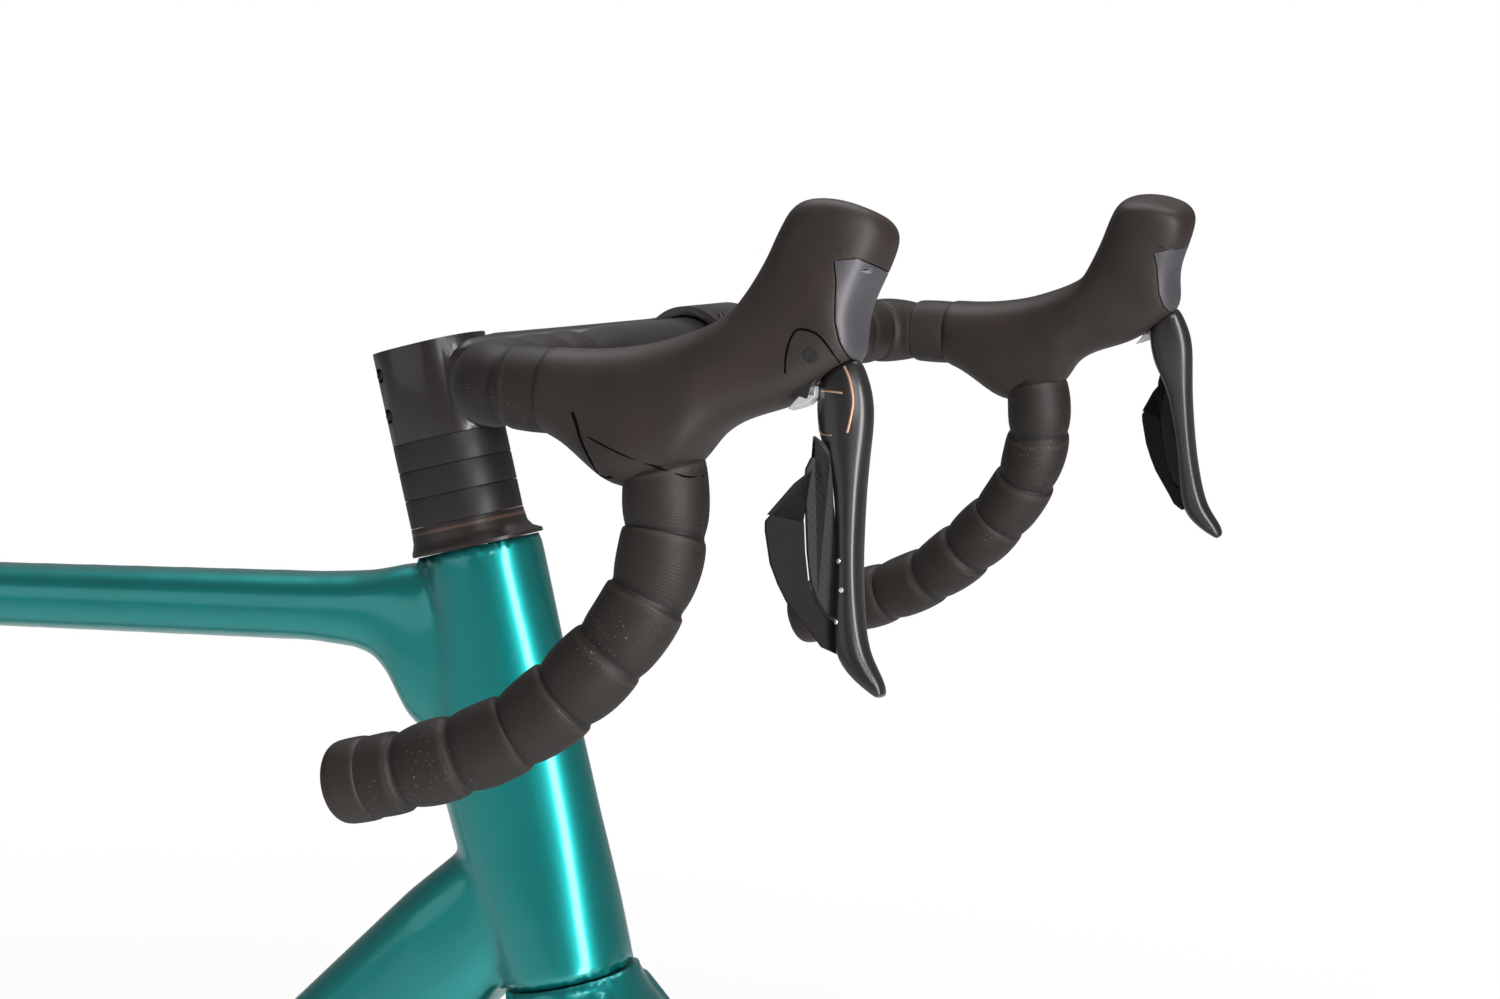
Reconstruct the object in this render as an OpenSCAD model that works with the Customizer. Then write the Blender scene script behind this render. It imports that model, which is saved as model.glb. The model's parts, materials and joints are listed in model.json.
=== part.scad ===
// Road bicycle: carbon frame and fork, drop bar cockpit, disc brakes, eleven speed drivetrain.
// +X is forward, +Y is the rider's left, +Z is up. The origin is on the ground, midway
// between the wheel axles. Millimetres and degrees throughout.

/* [Wheels] */
// Distance between the two wheel axles
wheelbase = 1010; // [970:1:1060]
// Bead seat diameter of the rims
bead_d = 622; // [584:1:630]
// Width of the inflated tyre
tyre_w = 28; // [23:0.5:30]
// Radial depth of the rim
rim_depth = 34; // [22:1:50]
// Outer width of the rim
rim_w = 24; // [20:0.5:26]
// Spokes in the front wheel, a multiple of four
front_spokes_n = 20; // [16:4:28]
// Spokes in the rear wheel, a multiple of four
rear_spokes_n = 24; // [16:4:28]
// Diameter of the front brake disc
front_disc_d = 160; // [140:1:165]
// Diameter of the rear brake disc
rear_disc_d = 140; // [135:1:160]

/* [Frame] */
// How far the bottom bracket lies below the axle line
bb_drop = 70; // [60:1:80]
// Bottom bracket to rear axle
chainstay_l = 412; // [405:1:435]
// Angle of the steering axis above the ground
head_angle = 73; // [70:0.5:74]
// Angle of the seat tube above the ground
seat_angle = 73.5; // [72:0.5:75]
// Rise of the top tube towards the head tube
top_tube_rise = 5.2; // [3:0.1:9]
// Length of the head tube along the steering axis
head_tube_l = 187; // [150:1:225]
// Half width of the head tube
head_tube_side = 23.5; // [23:0.5:27]
// Depth of the down tube
down_tube_h = 62; // [48:1:66]
// Depth of the top tube
top_tube_h = 29; // [26:1:36]
// Width of the bottom bracket shell
bb_shell_w = 86; // [80:0.5:90]
// Gap between the rear dropouts
rear_spacing = 142; // [140:0.5:148]

/* [Fork] */
// Distance from the axle to the steering axis, measured square to the axis
fork_rake = 45; // [40:0.5:50]
// Axle to crown race
fork_l = 370; // [366:0.5:395]
// Gap between the fork ends
front_spacing = 100; // [98:0.5:110]
// Diameter of both thru axles
axle_d = 12; // [10:0.5:15]

/* [Cockpit] */
// Height of the flared cover on the head tube
cover_h = 12; // [8:0.5:16]
// Height of the spacers between the cover and the stem
spacers_h = 36; // [10:1:50]
// Stem clamp height on the steerer
stem_h = 40; // [36:1:44]
// Stem length, steerer centre to bar centre
stem_l = 125; // [90:1:140]
// Rise of the stem above level
stem_rise = 10.2; // [0:0.1:17]
// Diameter of the bar in the stem clamp
bar_d = 31.8; // [31:0.1:35]
// Diameter of the bar under the tape
grip_d = 23.8; // [22:0.1:25]
// Diameter over the bar tape
tape_d = 29; // [28:0.5:33]
// Half width of the bar at the brake levers
bar_side = 205; // [180:1:220]
// Forward reach of the bar
bar_reach = 79; // [70:1:85]
// Drop of the bar
bar_drop = 144; // [120:1:150]

/* [Saddle] */
// Diameter of the seatpost
post_d = 27.2; // [25.4:0.2:31.6]
// Bottom bracket to the top of the saddle
saddle_height = 722; // [690:1:760]
// Length of the saddle
saddle_l = 270; // [240:1:285]
// Width of the saddle
saddle_w = 146; // [130:1:160]
// Diameter of the saddle rails
rail_d = 7; // [6.5:0.1:8]

/* [Drivetrain] */
// Chain pitch
pitch = 12.7; // [12.6:0.05:12.8]
// Teeth on the large chainring
big_teeth = 52; // [48:1:54]
// Teeth on the small chainring
small_teeth = 36; // [32:1:39]
// Teeth on each pulley of the rear derailleur
pulley_teeth = 11; // [11:1:12]
// Crank length, axle to pedal
crank_l = 172.5; // [165:0.5:177.5]
// Distance between the two pulleys of the rear derailleur
cage_l = 56; // [50:1:64]
// Distance from the frame centre to the chain
chain_line = 47; // [45:0.5:48]
// Spacing of the sprockets
sprocket_step = 3.69; // [3.6:0.01:3.75]

/* [Fits] */
// Gap between pieces that move past each other
run_gap = 0.5; // [0.4:0.05:1]
// Gap round a shaft, a pin or a pressed part
fit_gap = 0.1; // [0.05:0.01:0.15]

/* [Hidden] */
$fn = 48;

carbon = [0.06, 0.06, 0.065];
teal = [0.10, 0.56, 0.56];
rubber = [0.13, 0.11, 0.10];
alloy = [0.62, 0.63, 0.65];
steel = [0.75, 0.75, 0.76];
grey = [0.30, 0.30, 0.31];

// The sprockets, smallest first
sprockets = [11, 12, 13, 14, 15, 17, 19, 21, 24, 27, 30];
// The sprocket that the chain is on
chain_sprocket = 3;

// Wheels
tyre_h = tyre_w + 1;
wheel_r = bead_d / 2 + tyre_h;
rim_r = bead_d / 2 + 7;
rim_nose_r = rim_r - rim_depth;
tyre_wall = 2.6;
front_axle = [wheelbase / 2, 0, wheel_r];
rear_axle = [-wheelbase / 2, 0, wheel_r];
spoke_r = 0.9;
front_disc_y = front_spacing / 2 - 10.5;
rear_disc_y = rear_spacing / 2 - 15.5;

// Frame
bb = [rear_axle.x + sqrt(chainstay_l * chainstay_l - bb_drop * bb_drop), 0,
    wheel_r - bb_drop];
steer_up = [-cos(head_angle), 0, sin(head_angle)];
steer_front = [sin(head_angle), 0, cos(head_angle)];
steer_foot = front_axle - steer_front * fork_rake;
crown_t = sqrt(fork_l * fork_l - fork_rake * fork_rake);
head_low_t = crown_t + 0.8;
head_top_t = head_low_t + head_tube_l;
seat_up = [-cos(seat_angle), 0, sin(seat_angle)];
side = [0, 1, 0];
head_front = 28;
head_rear = 21.8;
bearing_h = 8;
race_r = 18.6;
steerer_r = 14.3;
low_bearing_r = 24.3;
top_bearing_r = 20.2;
bb_shell_r = 27;
bb_cup_r = 20.8;
bb_bearing_r = 18.5;
spindle_r = 12;
post_r = post_d / 2;
head_corner = on_steer(head_top_t, -head_rear);
tube_start = head_corner + [-55, 0, -28.8];
top_dir = [-cos(top_tube_rise), 0, -sin(top_tube_rise)];
cluster_s = ((tube_start.x - bb.x) * top_dir.z - (tube_start.z - bb.z) * top_dir.x)
    / (seat_up.x * top_dir.z - seat_up.z * top_dir.x);
seat_top_s = cluster_s + 34;
down_start = on_steer(crown_t + 21, -52);
down_dir = unit(down_start - bb);

// Cockpit
cover_t = head_top_t + run_gap;
spacer_t = cover_t + cover_h + 0.1;
stem_t = spacer_t + spacers_h;
stem_top_t = stem_t + stem_h;
stem_dir = [cos(stem_rise), 0, sin(stem_rise)];
stem_foot = on_steer(stem_t + stem_h * 0.6, 0);
bar = stem_foot + stem_dir * stem_l;
clamp_r = bar_d / 2 + 3.6;
clamp_half = 21;
lever_pivot = bar + [126, -(bar_side - 5), 18.7];
lever_lean = -11.64;
lever_pin_r = 2.5;

// Drivetrain
sprocket_y = [for (i = [0 : len(sprockets) - 1])
    -chain_line + (i - chain_sprocket) * sprocket_step];
small_ring_y = -chain_line + 7;
pedal_y = 86;
arm_y = 60;
guide = rear_axle + [7, -chain_line, -92];
right_pedal_at = bb + [crank_l, 0, 0];
left_pedal_at = bb - [crank_l, 0, 0];

function unit(v) = v / norm(v);
function mix(a, b, f) = a + (b - a) * f;
function on_steer(t, forward) = steer_foot + steer_up * t + steer_front * forward;

// Catmull-Rom curve through the points p, each span cut into the given steps
function spline_point(a, b, c, d, f) =
    0.5 * (2 * b + (c - a) * f + (2 * a - 5 * b + 4 * c - d) * f * f
        + (3 * b - a - 3 * c + d) * f * f * f);
function spline(p, steps) = let (n = len(p)) [
    for (i = [0 : n - 2], k = [0 : steps - 1])
        spline_point(p[max(i - 1, 0)], p[i], p[i + 1], p[min(i + 2, n - 1)], k / steps),
    p[n - 1]];

// A closed ring of n points: a superellipse of half sizes a and b along u and v
function ring(c, u, v, a, b, n, power = 2) = [
    for (k = [0 : n - 1])
        let (q = 360 * k / n, cu = cos(q), sv = sin(q))
        c + u * a * sign(cu) * pow(abs(cu), 2 / power)
            + v * b * sign(sv) * pow(abs(sv), 2 / power)];

// Direction of a path of points at point i
function path_dir(p, i) = unit(p[min(i + 1, len(p) - 1)] - p[max(i - 1, 0)]);

// Side vectors carried along a path without twist
function sides(p, first) = [
    for (i = 0, d = path_dir(p, 0), u = unit(first - d * (first * d)); i < len(p);
        i = i + 1, d = path_dir(p, min(i, len(p) - 1)), u = unit(u - d * (u * d))) u];

// Rings along a path of stations [x, y, z, half width, half depth]
function rings(stations, n, power = 2, first = side) =
    let (p = [for (s = stations) [s[0], s[1], s[2]]], u = sides(p, first))
    [for (i = [0 : len(p) - 1])
        ring(p[i], u[i], cross(path_dir(p, i), u[i]), stations[i][3], stations[i][4],
            n, power)];

// Rings that stand upright and square to the bicycle's length, for the same stations
function upright_rings(stations, n, power = 2) = [
    for (s = stations) ring([s[0], s[1], s[2]], side, [0, 0, 1], s[3], s[4], n, power)];

// A solid skin over rings that have equally many points
module loft(r) {
    n = len(r[0]);
    m = len(r);
    polyhedron(
        points = [for (one = r) each one],
        faces = [
            [for (k = [0 : n - 1]) k],
            for (i = [0 : m - 2], k = [0 : n - 1]) let (next = (k + 1) % n)
                each [[i * n + next, i * n + k, (i + 1) * n + k],
                    [i * n + next, (i + 1) * n + k, (i + 1) * n + next]],
            [for (k = [n - 1 : -1 : 0]) (m - 1) * n + k]]);
}

// The same skin as a chain of hulls, for shapes that are joined and cut as one mesh
module chain_of_hulls(r) {
    for (i = [0 : len(r) - 2])
        hull()
            loft([r[i], r[i + 1]]);
}

// Places children so that their +Z runs along the steering axis, at distance t
module on_steering(t = 0) {
    translate(on_steer(t, 0))
        rotate([0, head_angle - 90, 0])
            children();
}

// Places children so that their +Z runs along +Y
module across(at = [0, 0, 0]) {
    translate(at)
        rotate([-90, 0, 0])
            children();
}

// A rod along Y that is centred on a point
module cross_rod(at, r, l) {
    across(at)
        cylinder(r = r, h = l, center = true);
}

// A hollow round sleeve along +Z
module sleeve(outer, inner, h) {
    difference() {
        cylinder(r = outer, h = h);
        translate([0, 0, -1])
            cylinder(r = inner, h = h + 2);
    }
}

module both_sides() {
    children();
    mirror([0, 1, 0])
        children();
}

// ---------------------------------------------------------------- frame

// Ring of the head tube: half width, reach to the front and to the rear of the axis
function head_ring(t, wide, front, rear) =
    ring(on_steer(t, (front - rear) / 2), side, steer_front, wide, (front + rear) / 2, 24, 2.2);

head_rings = [
    head_ring(head_low_t, head_tube_side + 4, head_front - 1, head_front - 1.5),
    head_ring(head_low_t + head_tube_l * 0.16, head_tube_side + 3.5, head_front, 31),
    head_ring(head_low_t + head_tube_l * 0.35, head_tube_side + 1.5, head_front, 38),
    head_ring(head_low_t + head_tube_l * 0.55, head_tube_side + 0.5, head_front, 40),
    head_ring(head_low_t + head_tube_l * 0.7, head_tube_side, head_front, 34),
    head_ring(head_low_t + head_tube_l * 0.88, head_tube_side, head_front, 24),
    head_ring(head_top_t, head_tube_side, head_front, head_rear)];

// Station of the top tube, at an offset from the head tube's rear corner
function top_station(dx, top, bottom, wide) =
    [head_corner.x + dx, 0, head_corner.z + (top + bottom) / 2, wide, (top - bottom) / 2];

top_stations = [
    top_station(14, -3, -84, head_tube_side - 4),
    top_station(-4, -3, -72, head_tube_side - 4),
    top_station(-14, -5.2, -55, head_tube_side - 5),
    top_station(-22, -7.8, -47.2, head_tube_side - 5.5),
    top_station(-32, -10.3, -44.4, head_tube_side - 6),
    [tube_start.x, 0, tube_start.z, head_tube_side - 6.5, top_tube_h / 2 + 0.8],
    concat(mix(tube_start, bb + seat_up * cluster_s, 0.5), [17.5, top_tube_h / 2]),
    concat(mix(tube_start, bb + seat_up * cluster_s, 0.93), [15, top_tube_h / 2 + 2]),
    concat(bb + seat_up * cluster_s, [14, top_tube_h / 2 + 4])];

down_stations = [
    concat(on_steer(crown_t + 44, -11), [head_tube_side - 3, down_tube_h / 2 - 3]),
    concat(down_start, [head_tube_side - 1, down_tube_h / 2]),
    concat(mix(down_start, bb, 0.25), [head_tube_side - 3, down_tube_h / 2 - 1]),
    concat(mix(down_start, bb, 0.6), [head_tube_side - 3, down_tube_h / 2 - 3]),
    concat(mix(down_start, bb, 0.88), [head_tube_side + 4, down_tube_h / 2 - 3]),
    concat(bb, [bb_shell_w / 2 - 8, bb_shell_r])];

seat_stations = [
    concat(bb, [bb_shell_w / 2 - 14, 22]),
    concat(bb + seat_up * 60, [24, 20]),
    concat(bb + seat_up * 140, [post_r + 4, post_r + 6.5]),
    concat(bb + seat_up * cluster_s, [post_r + 3.4, post_r + 7]),
    concat(bb + seat_up * (seat_top_s - 6), [post_r + 3.2, post_r + 4.5]),
    concat(bb + seat_up * seat_top_s, [post_r + 2.8, post_r + 3.6])];

// The outer form of the front triangle, as one chain of hulls a tube
module front_form() {
    chain_of_hulls(head_rings);
    chain_of_hulls(upright_rings(top_stations, 18, 2.5));
    chain_of_hulls(rings(down_stations, 20, 2.5));
    chain_of_hulls(rings(seat_stations, 16, 2.2));
    cross_rod(bb, bb_shell_r, bb_shell_w);
}

module front_triangle() color(teal) difference() {
    front_form();
    on_steering(head_low_t - 20)
        cylinder(r = race_r - 1, h = head_tube_l + 40);
    on_steering(head_low_t - 40)
        cylinder(r = 34, h = 40);
    on_steering(head_low_t - 1)
        cylinder(r = low_bearing_r + 0.2, h = bearing_h + 2);
    on_steering(head_top_t - bearing_h - 1)
        cylinder(r = top_bearing_r + 0.2, h = bearing_h + 2);
    cross_rod(bb, bb_cup_r + 0.2, bb_shell_w + 2);
    seatpost_space(0.3);
    for (at = boss_places)
        boss_space(at);
}

// Where the bottle bosses sit: point on the tube's face and the direction out of it
down_normal = cross(down_dir, side);
seat_normal = cross(seat_up, side) * -1;
boss_gap = 64;
boss_r = 4.5;
down_boss = mix(down_start, bb, 0.52);
boss_places = [
    for (s = [-0.5, 0.5])
        [down_boss + down_dir * boss_gap * s + down_normal * (down_tube_h / 2 - 2.6),
            down_normal],
    for (s = [-0.5, 0.5])
        [bb + seat_up * (235 + boss_gap * s) + seat_normal * 20.8, seat_normal]];

// Turns +Z to a direction in the bicycle's middle plane
module towards(dir) {
    rotate([0, atan2(dir.x, dir.z), 0])
        children();
}

module boss_space(place) {
    translate(place[0] - place[1] * 14)
        towards(place[1])
            cylinder(r = boss_r + 0.2, h = 18);
}

module bottle_bosses() color(alloy) for (place = boss_places)
    translate(place[0] - place[1] * 13)
        towards(place[1])
            difference() {
                cylinder(r = boss_r, h = 13.6);
                translate([0, 0, 2])
                    cylinder(r = 2.1, h = 20);
            }

// The right or left stays run from the bottom bracket and the seat tube to a dropout
stay_inset = rear_spacing / 2;
chain_stay_points = [
    concat(bb + [-14, 24, 0], [9, 15]),
    concat(bb + [-60, 27, 2], [7, 14]),
    concat(bb + [-105, 30, 6], [6.5, 13]),
    concat(mix(bb, rear_axle, 0.42) + [0, 39, 0], [6.5, 11]),
    concat(mix(bb, rear_axle, 0.7) + [0, stay_inset - 10, 0], [6, 9]),
    concat(mix(bb, rear_axle, 0.93) + [0, stay_inset + 4, 0], [5, 9]),
    concat(rear_axle + [0, stay_inset + 4.5, 0], [4, 8])];
seat_stay_top = bb + seat_up * (cluster_s - 95);
seat_stay_points = [
    concat(seat_stay_top + [4, 7, 4], [7, 12]),
    concat(mix(seat_stay_top, rear_axle, 0.1) + [0, 17, 0], [5.5, 9]),
    concat(mix(seat_stay_top, rear_axle, 0.24) + [0, 27, 0], [5, 8]),
    concat(mix(seat_stay_top, rear_axle, 0.6) + [0, 50, 0], [5, 7.5]),
    concat(mix(seat_stay_top, rear_axle, 0.9) + [0, stay_inset, 0], [5, 8]),
    concat(rear_axle + [0, stay_inset + 4.5, 0], [4, 8])];

module rear_triangle() color(teal) difference() {
    both_sides() {
        chain_of_hulls(rings(chain_stay_points, 12, 2.4));
        chain_of_hulls(rings(seat_stay_points, 12, 2.2));
        cross_rod(rear_axle + [0, stay_inset + 4, 0], 15, 8);
    }
    front_form();
    cross_rod(rear_axle, axle_d / 2 + 0.2, rear_spacing * 2);
    cross_rod(rear_axle, 60, rear_spacing);
    both_sides()
        cross_rod(rear_axle + [0, stay_inset + 28, 0], 60, 40);
}

hanger_y = -(stay_inset + 8 + fit_gap);
b_pivot = rear_axle + [-14, hanger_y - 5, -34];

module derailleur_hanger() color(alloy) difference() {
    translate([0, hanger_y, 0])
        rotate([90, 0, 0])
            linear_extrude(height = 5)
                difference() {
                    union() {
                        translate([rear_axle.x, rear_axle.z])
                            circle(r = 12);
                        translate([b_pivot.x, b_pivot.z])
                            circle(r = 10);
                        polygon([
                            [rear_axle.x - 12, rear_axle.z], [rear_axle.x + 10, rear_axle.z - 6],
                            [b_pivot.x + 9, b_pivot.z - 2], [b_pivot.x - 10, b_pivot.z]]);
                    }
                    translate([rear_axle.x, rear_axle.z])
                        circle(r = axle_d / 2 + fit_gap);
                    translate([b_pivot.x, b_pivot.z])
                        circle(r = 5 + fit_gap);
                }
}

module headset_bearings() color(steel) {
    on_steering(head_low_t + 0.4)
        sleeve(low_bearing_r, race_r + fit_gap, bearing_h - 0.4);
    on_steering(head_top_t - bearing_h)
        sleeve(top_bearing_r, steerer_r + fit_gap, bearing_h - 0.6);
}

// Two pressed cups, each with a bearing inside
module bottom_bracket() color(grey) both_sides()
    across([bb.x, bb_shell_w / 2 + fit_gap, bb.z]) {
        difference() {
            union() {
                translate([0, 0, -16])
                    cylinder(r = bb_cup_r, h = 17);
                cylinder(r = bb_cup_r + 2.4, h = 2);
            }
            translate([0, 0, -17])
                cylinder(r = spindle_r + 2, h = 30);
            translate([0, 0, -9])
                cylinder(r = bb_bearing_r + fit_gap, h = 30);
        }
        translate([0, 0, -8.5])
            sleeve(bb_bearing_r, spindle_r + fit_gap, 10);
    }

// ---------------------------------------------------------------- saddle

saddle_top = bb + seat_up * saddle_height;
post_top_s = saddle_height - 58;
post_low_s = cluster_s - 120;

// One corner value of a squared oval: the cosine or sine of its angle
function squared(value, power) = sign(value) * pow(abs(value), 2 / power);
function oval_outline(a, b, n, power = 2.5) = [for (k = [0 : n - 1])
    [a * squared(cos(360 * k / n), power), b * squared(sin(360 * k / n), power)]];

module seatpost_space(gap) {
    translate(bb + seat_up * (post_low_s - 2))
        rotate([0, seat_angle - 90, 0])
            cylinder(r = post_r + gap, h = 400);
}

rail_z = saddle_top.z - 44;
rail_y = 22;
rail_mid_x = saddle_top.x - 5;

module seatpost() color(carbon) {
    translate(bb + seat_up * post_low_s)
        rotate([0, seat_angle - 90, 0])
            cylinder(r = post_r, h = post_top_s - post_low_s);
    cross_rod([rail_mid_x, 0, rail_z - 12], 9, 30);
}

// A clamp collar that closes on the post above the seat tube
module seatpost_clamp() color(carbon)
    translate(bb + seat_up * (seat_top_s + 0.3))
        rotate([0, seat_angle - 90, 0])
            difference() {
                cylinder(r = post_r + 4, h = 9);
                translate([0, 0, -1])
                    cylinder(r = post_r + 0.3, h = 11);
            }

// Lower cradle, upper plate and the two bolts of the saddle clamp
module saddle_clamp() color(alloy) translate([rail_mid_x, 0, rail_z]) difference() {
    union() {
        translate([-20, -30, -9])
            cube([40, 60, 8.7]);
        translate([-17, -30, 0.3])
            cube([34, 60, 6]);
        for (dx = [-13, 13])
            translate([dx, 0, -8])
                cylinder(r = 3, h = 16);
    }
    for (dy = [-rail_y, rail_y])
        translate([0, dy, 0])
            rotate([0, 90, 0])
                cylinder(r = rail_d / 2 + 0.3, h = 60, center = true);
    cross_rod([0, 0, -12], 9.3, 80);
}

rail_path = [
    [saddle_top.x - saddle_l * 0.42, 37, rail_z + 20],
    [saddle_top.x - saddle_l * 0.33, 33, rail_z + 10],
    [saddle_top.x - saddle_l * 0.2, rail_y + 2, rail_z + 1],
    [saddle_top.x - saddle_l * 0.13, rail_y, rail_z],
    [saddle_top.x + saddle_l * 0.12, rail_y, rail_z],
    [saddle_top.x + saddle_l * 0.2, rail_y - 3, rail_z + 3],
    [saddle_top.x + saddle_l * 0.36, 13, rail_z + 22]];

module saddle_rails() color(steel) both_sides()
    loft(rings([for (p = spline(rail_path, 2)) concat(p, [rail_d / 2, rail_d / 2])], 8));

// Station of the saddle: place along its length, half width, top height and thickness
function saddle_station(f, half, drop, thick) =
    [saddle_top.x + saddle_l * f, 0, saddle_top.z - drop - thick / 2, half, thick / 2];

saddle_stations = [
    saddle_station(-0.52, saddle_w * 0.26, 2, 16),
    saddle_station(-0.49, saddle_w * 0.4, 0, 22),
    saddle_station(-0.42, saddle_w * 0.49, 0, 24),
    saddle_station(-0.32, saddle_w * 0.5, 1, 23),
    saddle_station(-0.2, saddle_w * 0.44, 3, 21),
    saddle_station(-0.08, saddle_w * 0.33, 5, 20),
    saddle_station(0.06, saddle_w * 0.22, 5, 19),
    saddle_station(0.22, saddle_w * 0.155, 4, 19),
    saddle_station(0.4, saddle_w * 0.14, 4, 20),
    saddle_station(0.46, saddle_w * 0.11, 6, 18),
    saddle_station(0.48, saddle_w * 0.05, 9, 10)];

module saddle() color(carbon) difference() {
    loft(rings(saddle_stations, 20, 2.6));
    translate([saddle_top.x - 20, 0, saddle_top.z - 60])
        linear_extrude(height = 80)
            polygon([for (k = [0 : 15])
                [62 * cos(22.5 * k), (9 - 4 * cos(22.5 * k)) * sin(22.5 * k)]]);
}

// ---------------------------------------------------------------- fork and headset

blade_top = on_steer(crown_t - 50, 5);

module fork() color(teal) difference() {
    union() {
        loft([
            ring(on_steer(crown_t, 0), side, steer_front, 28.5, 29, 28),
            ring(on_steer(crown_t - 12, 1), side, steer_front, 31, 30.5, 28, 2.3),
            ring(on_steer(crown_t - 22, 4), side, steer_front, 34, 31, 28, 2.6),
            ring(on_steer(crown_t - 30, 6), side, steer_front, 33, 26, 28, 2.6)]);
        both_sides()
            loft(rings([
                concat(on_steer(crown_t - 10, 3) + [0, 18, 0], [9, 24]),
                concat(on_steer(crown_t - 26, 5) + [0, 27, 0], [8.5, 25.5]),
                concat(on_steer(crown_t - 50, 6) + [0, 31, 0], [7.5, 24]),
                concat(mix(blade_top, front_axle, 0.25) + [0, 36, 0], [7, 20]),
                concat(mix(blade_top, front_axle, 0.62) + [0, 46, 0], [6.2, 14]),
                concat(mix(blade_top, front_axle, 0.95) + [0, front_spacing / 2 + 6, 0],
                    [6, 13]),
                concat(front_axle + [0, front_spacing / 2 + 6.3, 0], [5.8, 13])], 20, 2.3));
        both_sides()
            cross_rod(front_axle + [0, front_spacing / 2 + 6, 0], 13, 12);
        on_steering(crown_t - 1)
            cylinder(r = race_r, h = bearing_h + 1);
        on_steering(crown_t - 4)
            cylinder(r = steerer_r, h = stem_top_t - crown_t);
    }
    cross_rod(front_axle, axle_d / 2 + fit_gap, front_spacing * 2);
    cross_rod(front_axle, 40, front_spacing);
    on_steering(crown_t + 12)
        cylinder(r = steerer_r - 2.4, h = stem_top_t);
    cross_rod(front_axle, wheel_r + 5, tyre_w + 10);
}

// The stack of cover, spacers and stem, measured from the steering axis
stack_front = head_front - 6;
stack_rear = head_rear + 3.8;
stack_side = head_tube_side - 3;

// A slice of the stack, h high
module stack_slice(h) {
    translate([(stack_front - stack_rear) / 2, 0, 0])
        linear_extrude(height = h)
            polygon(oval_outline((stack_front + stack_rear) / 2, stack_side, 40));
}

// An outline of the stack up the steering axis, grown at the front, back and sides
function stack_ring(t, front, rear, wide) =
    ring(on_steer(t, (stack_front + front - stack_rear - rear) / 2), side, steer_front,
        stack_side + wide, (stack_front + front + stack_rear + rear) / 2, 28, 2.5);

// The cover flares out over the head tube's top
module headset_cover() color(carbon) difference() {
    loft([
        stack_ring(cover_t, 6.5, 1.6, 3),
        stack_ring(cover_t + 1.6, 6.5, 1.6, 3),
        stack_ring(cover_t + 3.5, 2.6, 1, 1.2),
        stack_ring(cover_t + 6, 0.8, 0.4, 0.3),
        stack_ring(cover_t + cover_h, 0, 0, 0)]);
    on_steering(cover_t - 1)
        cylinder(r = steerer_r + fit_gap, h = cover_h + 2);
}

module headset_spacers() color(carbon) for (k = [0 : 2])
    on_steering(spacer_t + spacers_h / 3 * k)
        difference() {
            stack_slice(spacers_h / 3 - 0.1);
            translate([0, 0, -1])
                cylinder(r = steerer_r + fit_gap, h = spacers_h / 3 + 2);
        }

// Half of the space round the bar that belongs to the faceplate
module faceplate_side(gap) {
    across(bar)
        rotate([0, 0, 58])
            translate([gap, -50, -50])
                cube([100, 100, 100]);
}

function stem_at(f, lift) = mix(stem_foot, bar, f) + [0, 0, lift];

module stem() color(carbon) difference() {
    union() {
        on_steering(stem_t)
            stack_slice(stem_h);
        loft(rings([
            concat(stem_at(0.02, -3), [18, stem_h / 2 - 3]),
            concat(stem_at(0.24, -4), [17.5, stem_h / 2 + 1]),
            concat(stem_at(0.5, -1), [16.5, stem_h / 2 - 2.5]),
            concat(stem_at(0.8, 0), [18, clamp_r - 3.5]),
            concat(stem_at(0.93, 0), [clamp_half - 1, clamp_r - 3])], 24, 3));
        cross_rod(bar, clamp_r, clamp_half * 2);
    }
    on_steering(stem_t - 1)
        cylinder(r = steerer_r + fit_gap, h = stem_h + 2);
    cross_rod(bar, bar_d / 2 + fit_gap, 200);
    faceplate_side(0);
    steerer_bolts(0.3);
    faceplate_bolts(0.3);
    on_steering(stem_t - 40)
        cylinder(r = head_tube_side * 2, h = 40);
    on_steering(stem_top_t)
        cylinder(r = head_tube_side * 2, h = 40);
    on_steering(stem_top_t - cap_h - fit_gap)
        cylinder(r = cap_r + 0.3, h = cap_h + 2);
}

module stem_faceplate() color(carbon) difference() {
    intersection() {
        cross_rod(bar, clamp_r, clamp_half * 2);
        faceplate_side(0.5);
    }
    cross_rod(bar, bar_d / 2 + fit_gap, 200);
    faceplate_bolts(0.3);
}

// Bolts through the faceplate's two edges
module faceplate_bolts(gap) {
    for (end = [-1, 1], dy = [-12, 12])
        across(bar + [0, dy, 0])
            rotate([0, 0, 58])
                translate([0, end * (clamp_r - 2), 0])
                    rotate([0, 90, 0]) {
                        translate([0, 0, -9])
                            cylinder(r = 1.6 + gap, h = 16);
                        translate([0, 0, 5])
                            cylinder(r = 2.6 + gap, h = 4 + gap * 10);
                    }
}

// Pinch bolts across the back of the stem, their heads sunk in its right side
module steerer_bolts(gap) {
    for (up = [stem_h * 0.32, stem_h * 0.76])
        on_steering(stem_t + up)
            translate([-steerer_r - 5.2, 13.5, 0])
                rotate([90, 0, 0]) {
                    cylinder(r = 1.8 + gap, h = 23);
                    translate([0, 0, 22 - gap])
                        cylinder(r = 2.9 + gap, h = 4.5 + gap * 20);
                }
}

module stem_bolts() color(steel) {
    faceplate_bolts(0);
    steerer_bolts(0);
}

// The cap over the steerer lies flush in the stem's top
cap_r = 16.5;
cap_h = 3;
module stem_top_cap() color(carbon) on_steering(stem_top_t - cap_h)
    cylinder(r = cap_r, h = cap_h);

// ---------------------------------------------------------------- handlebar

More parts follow.
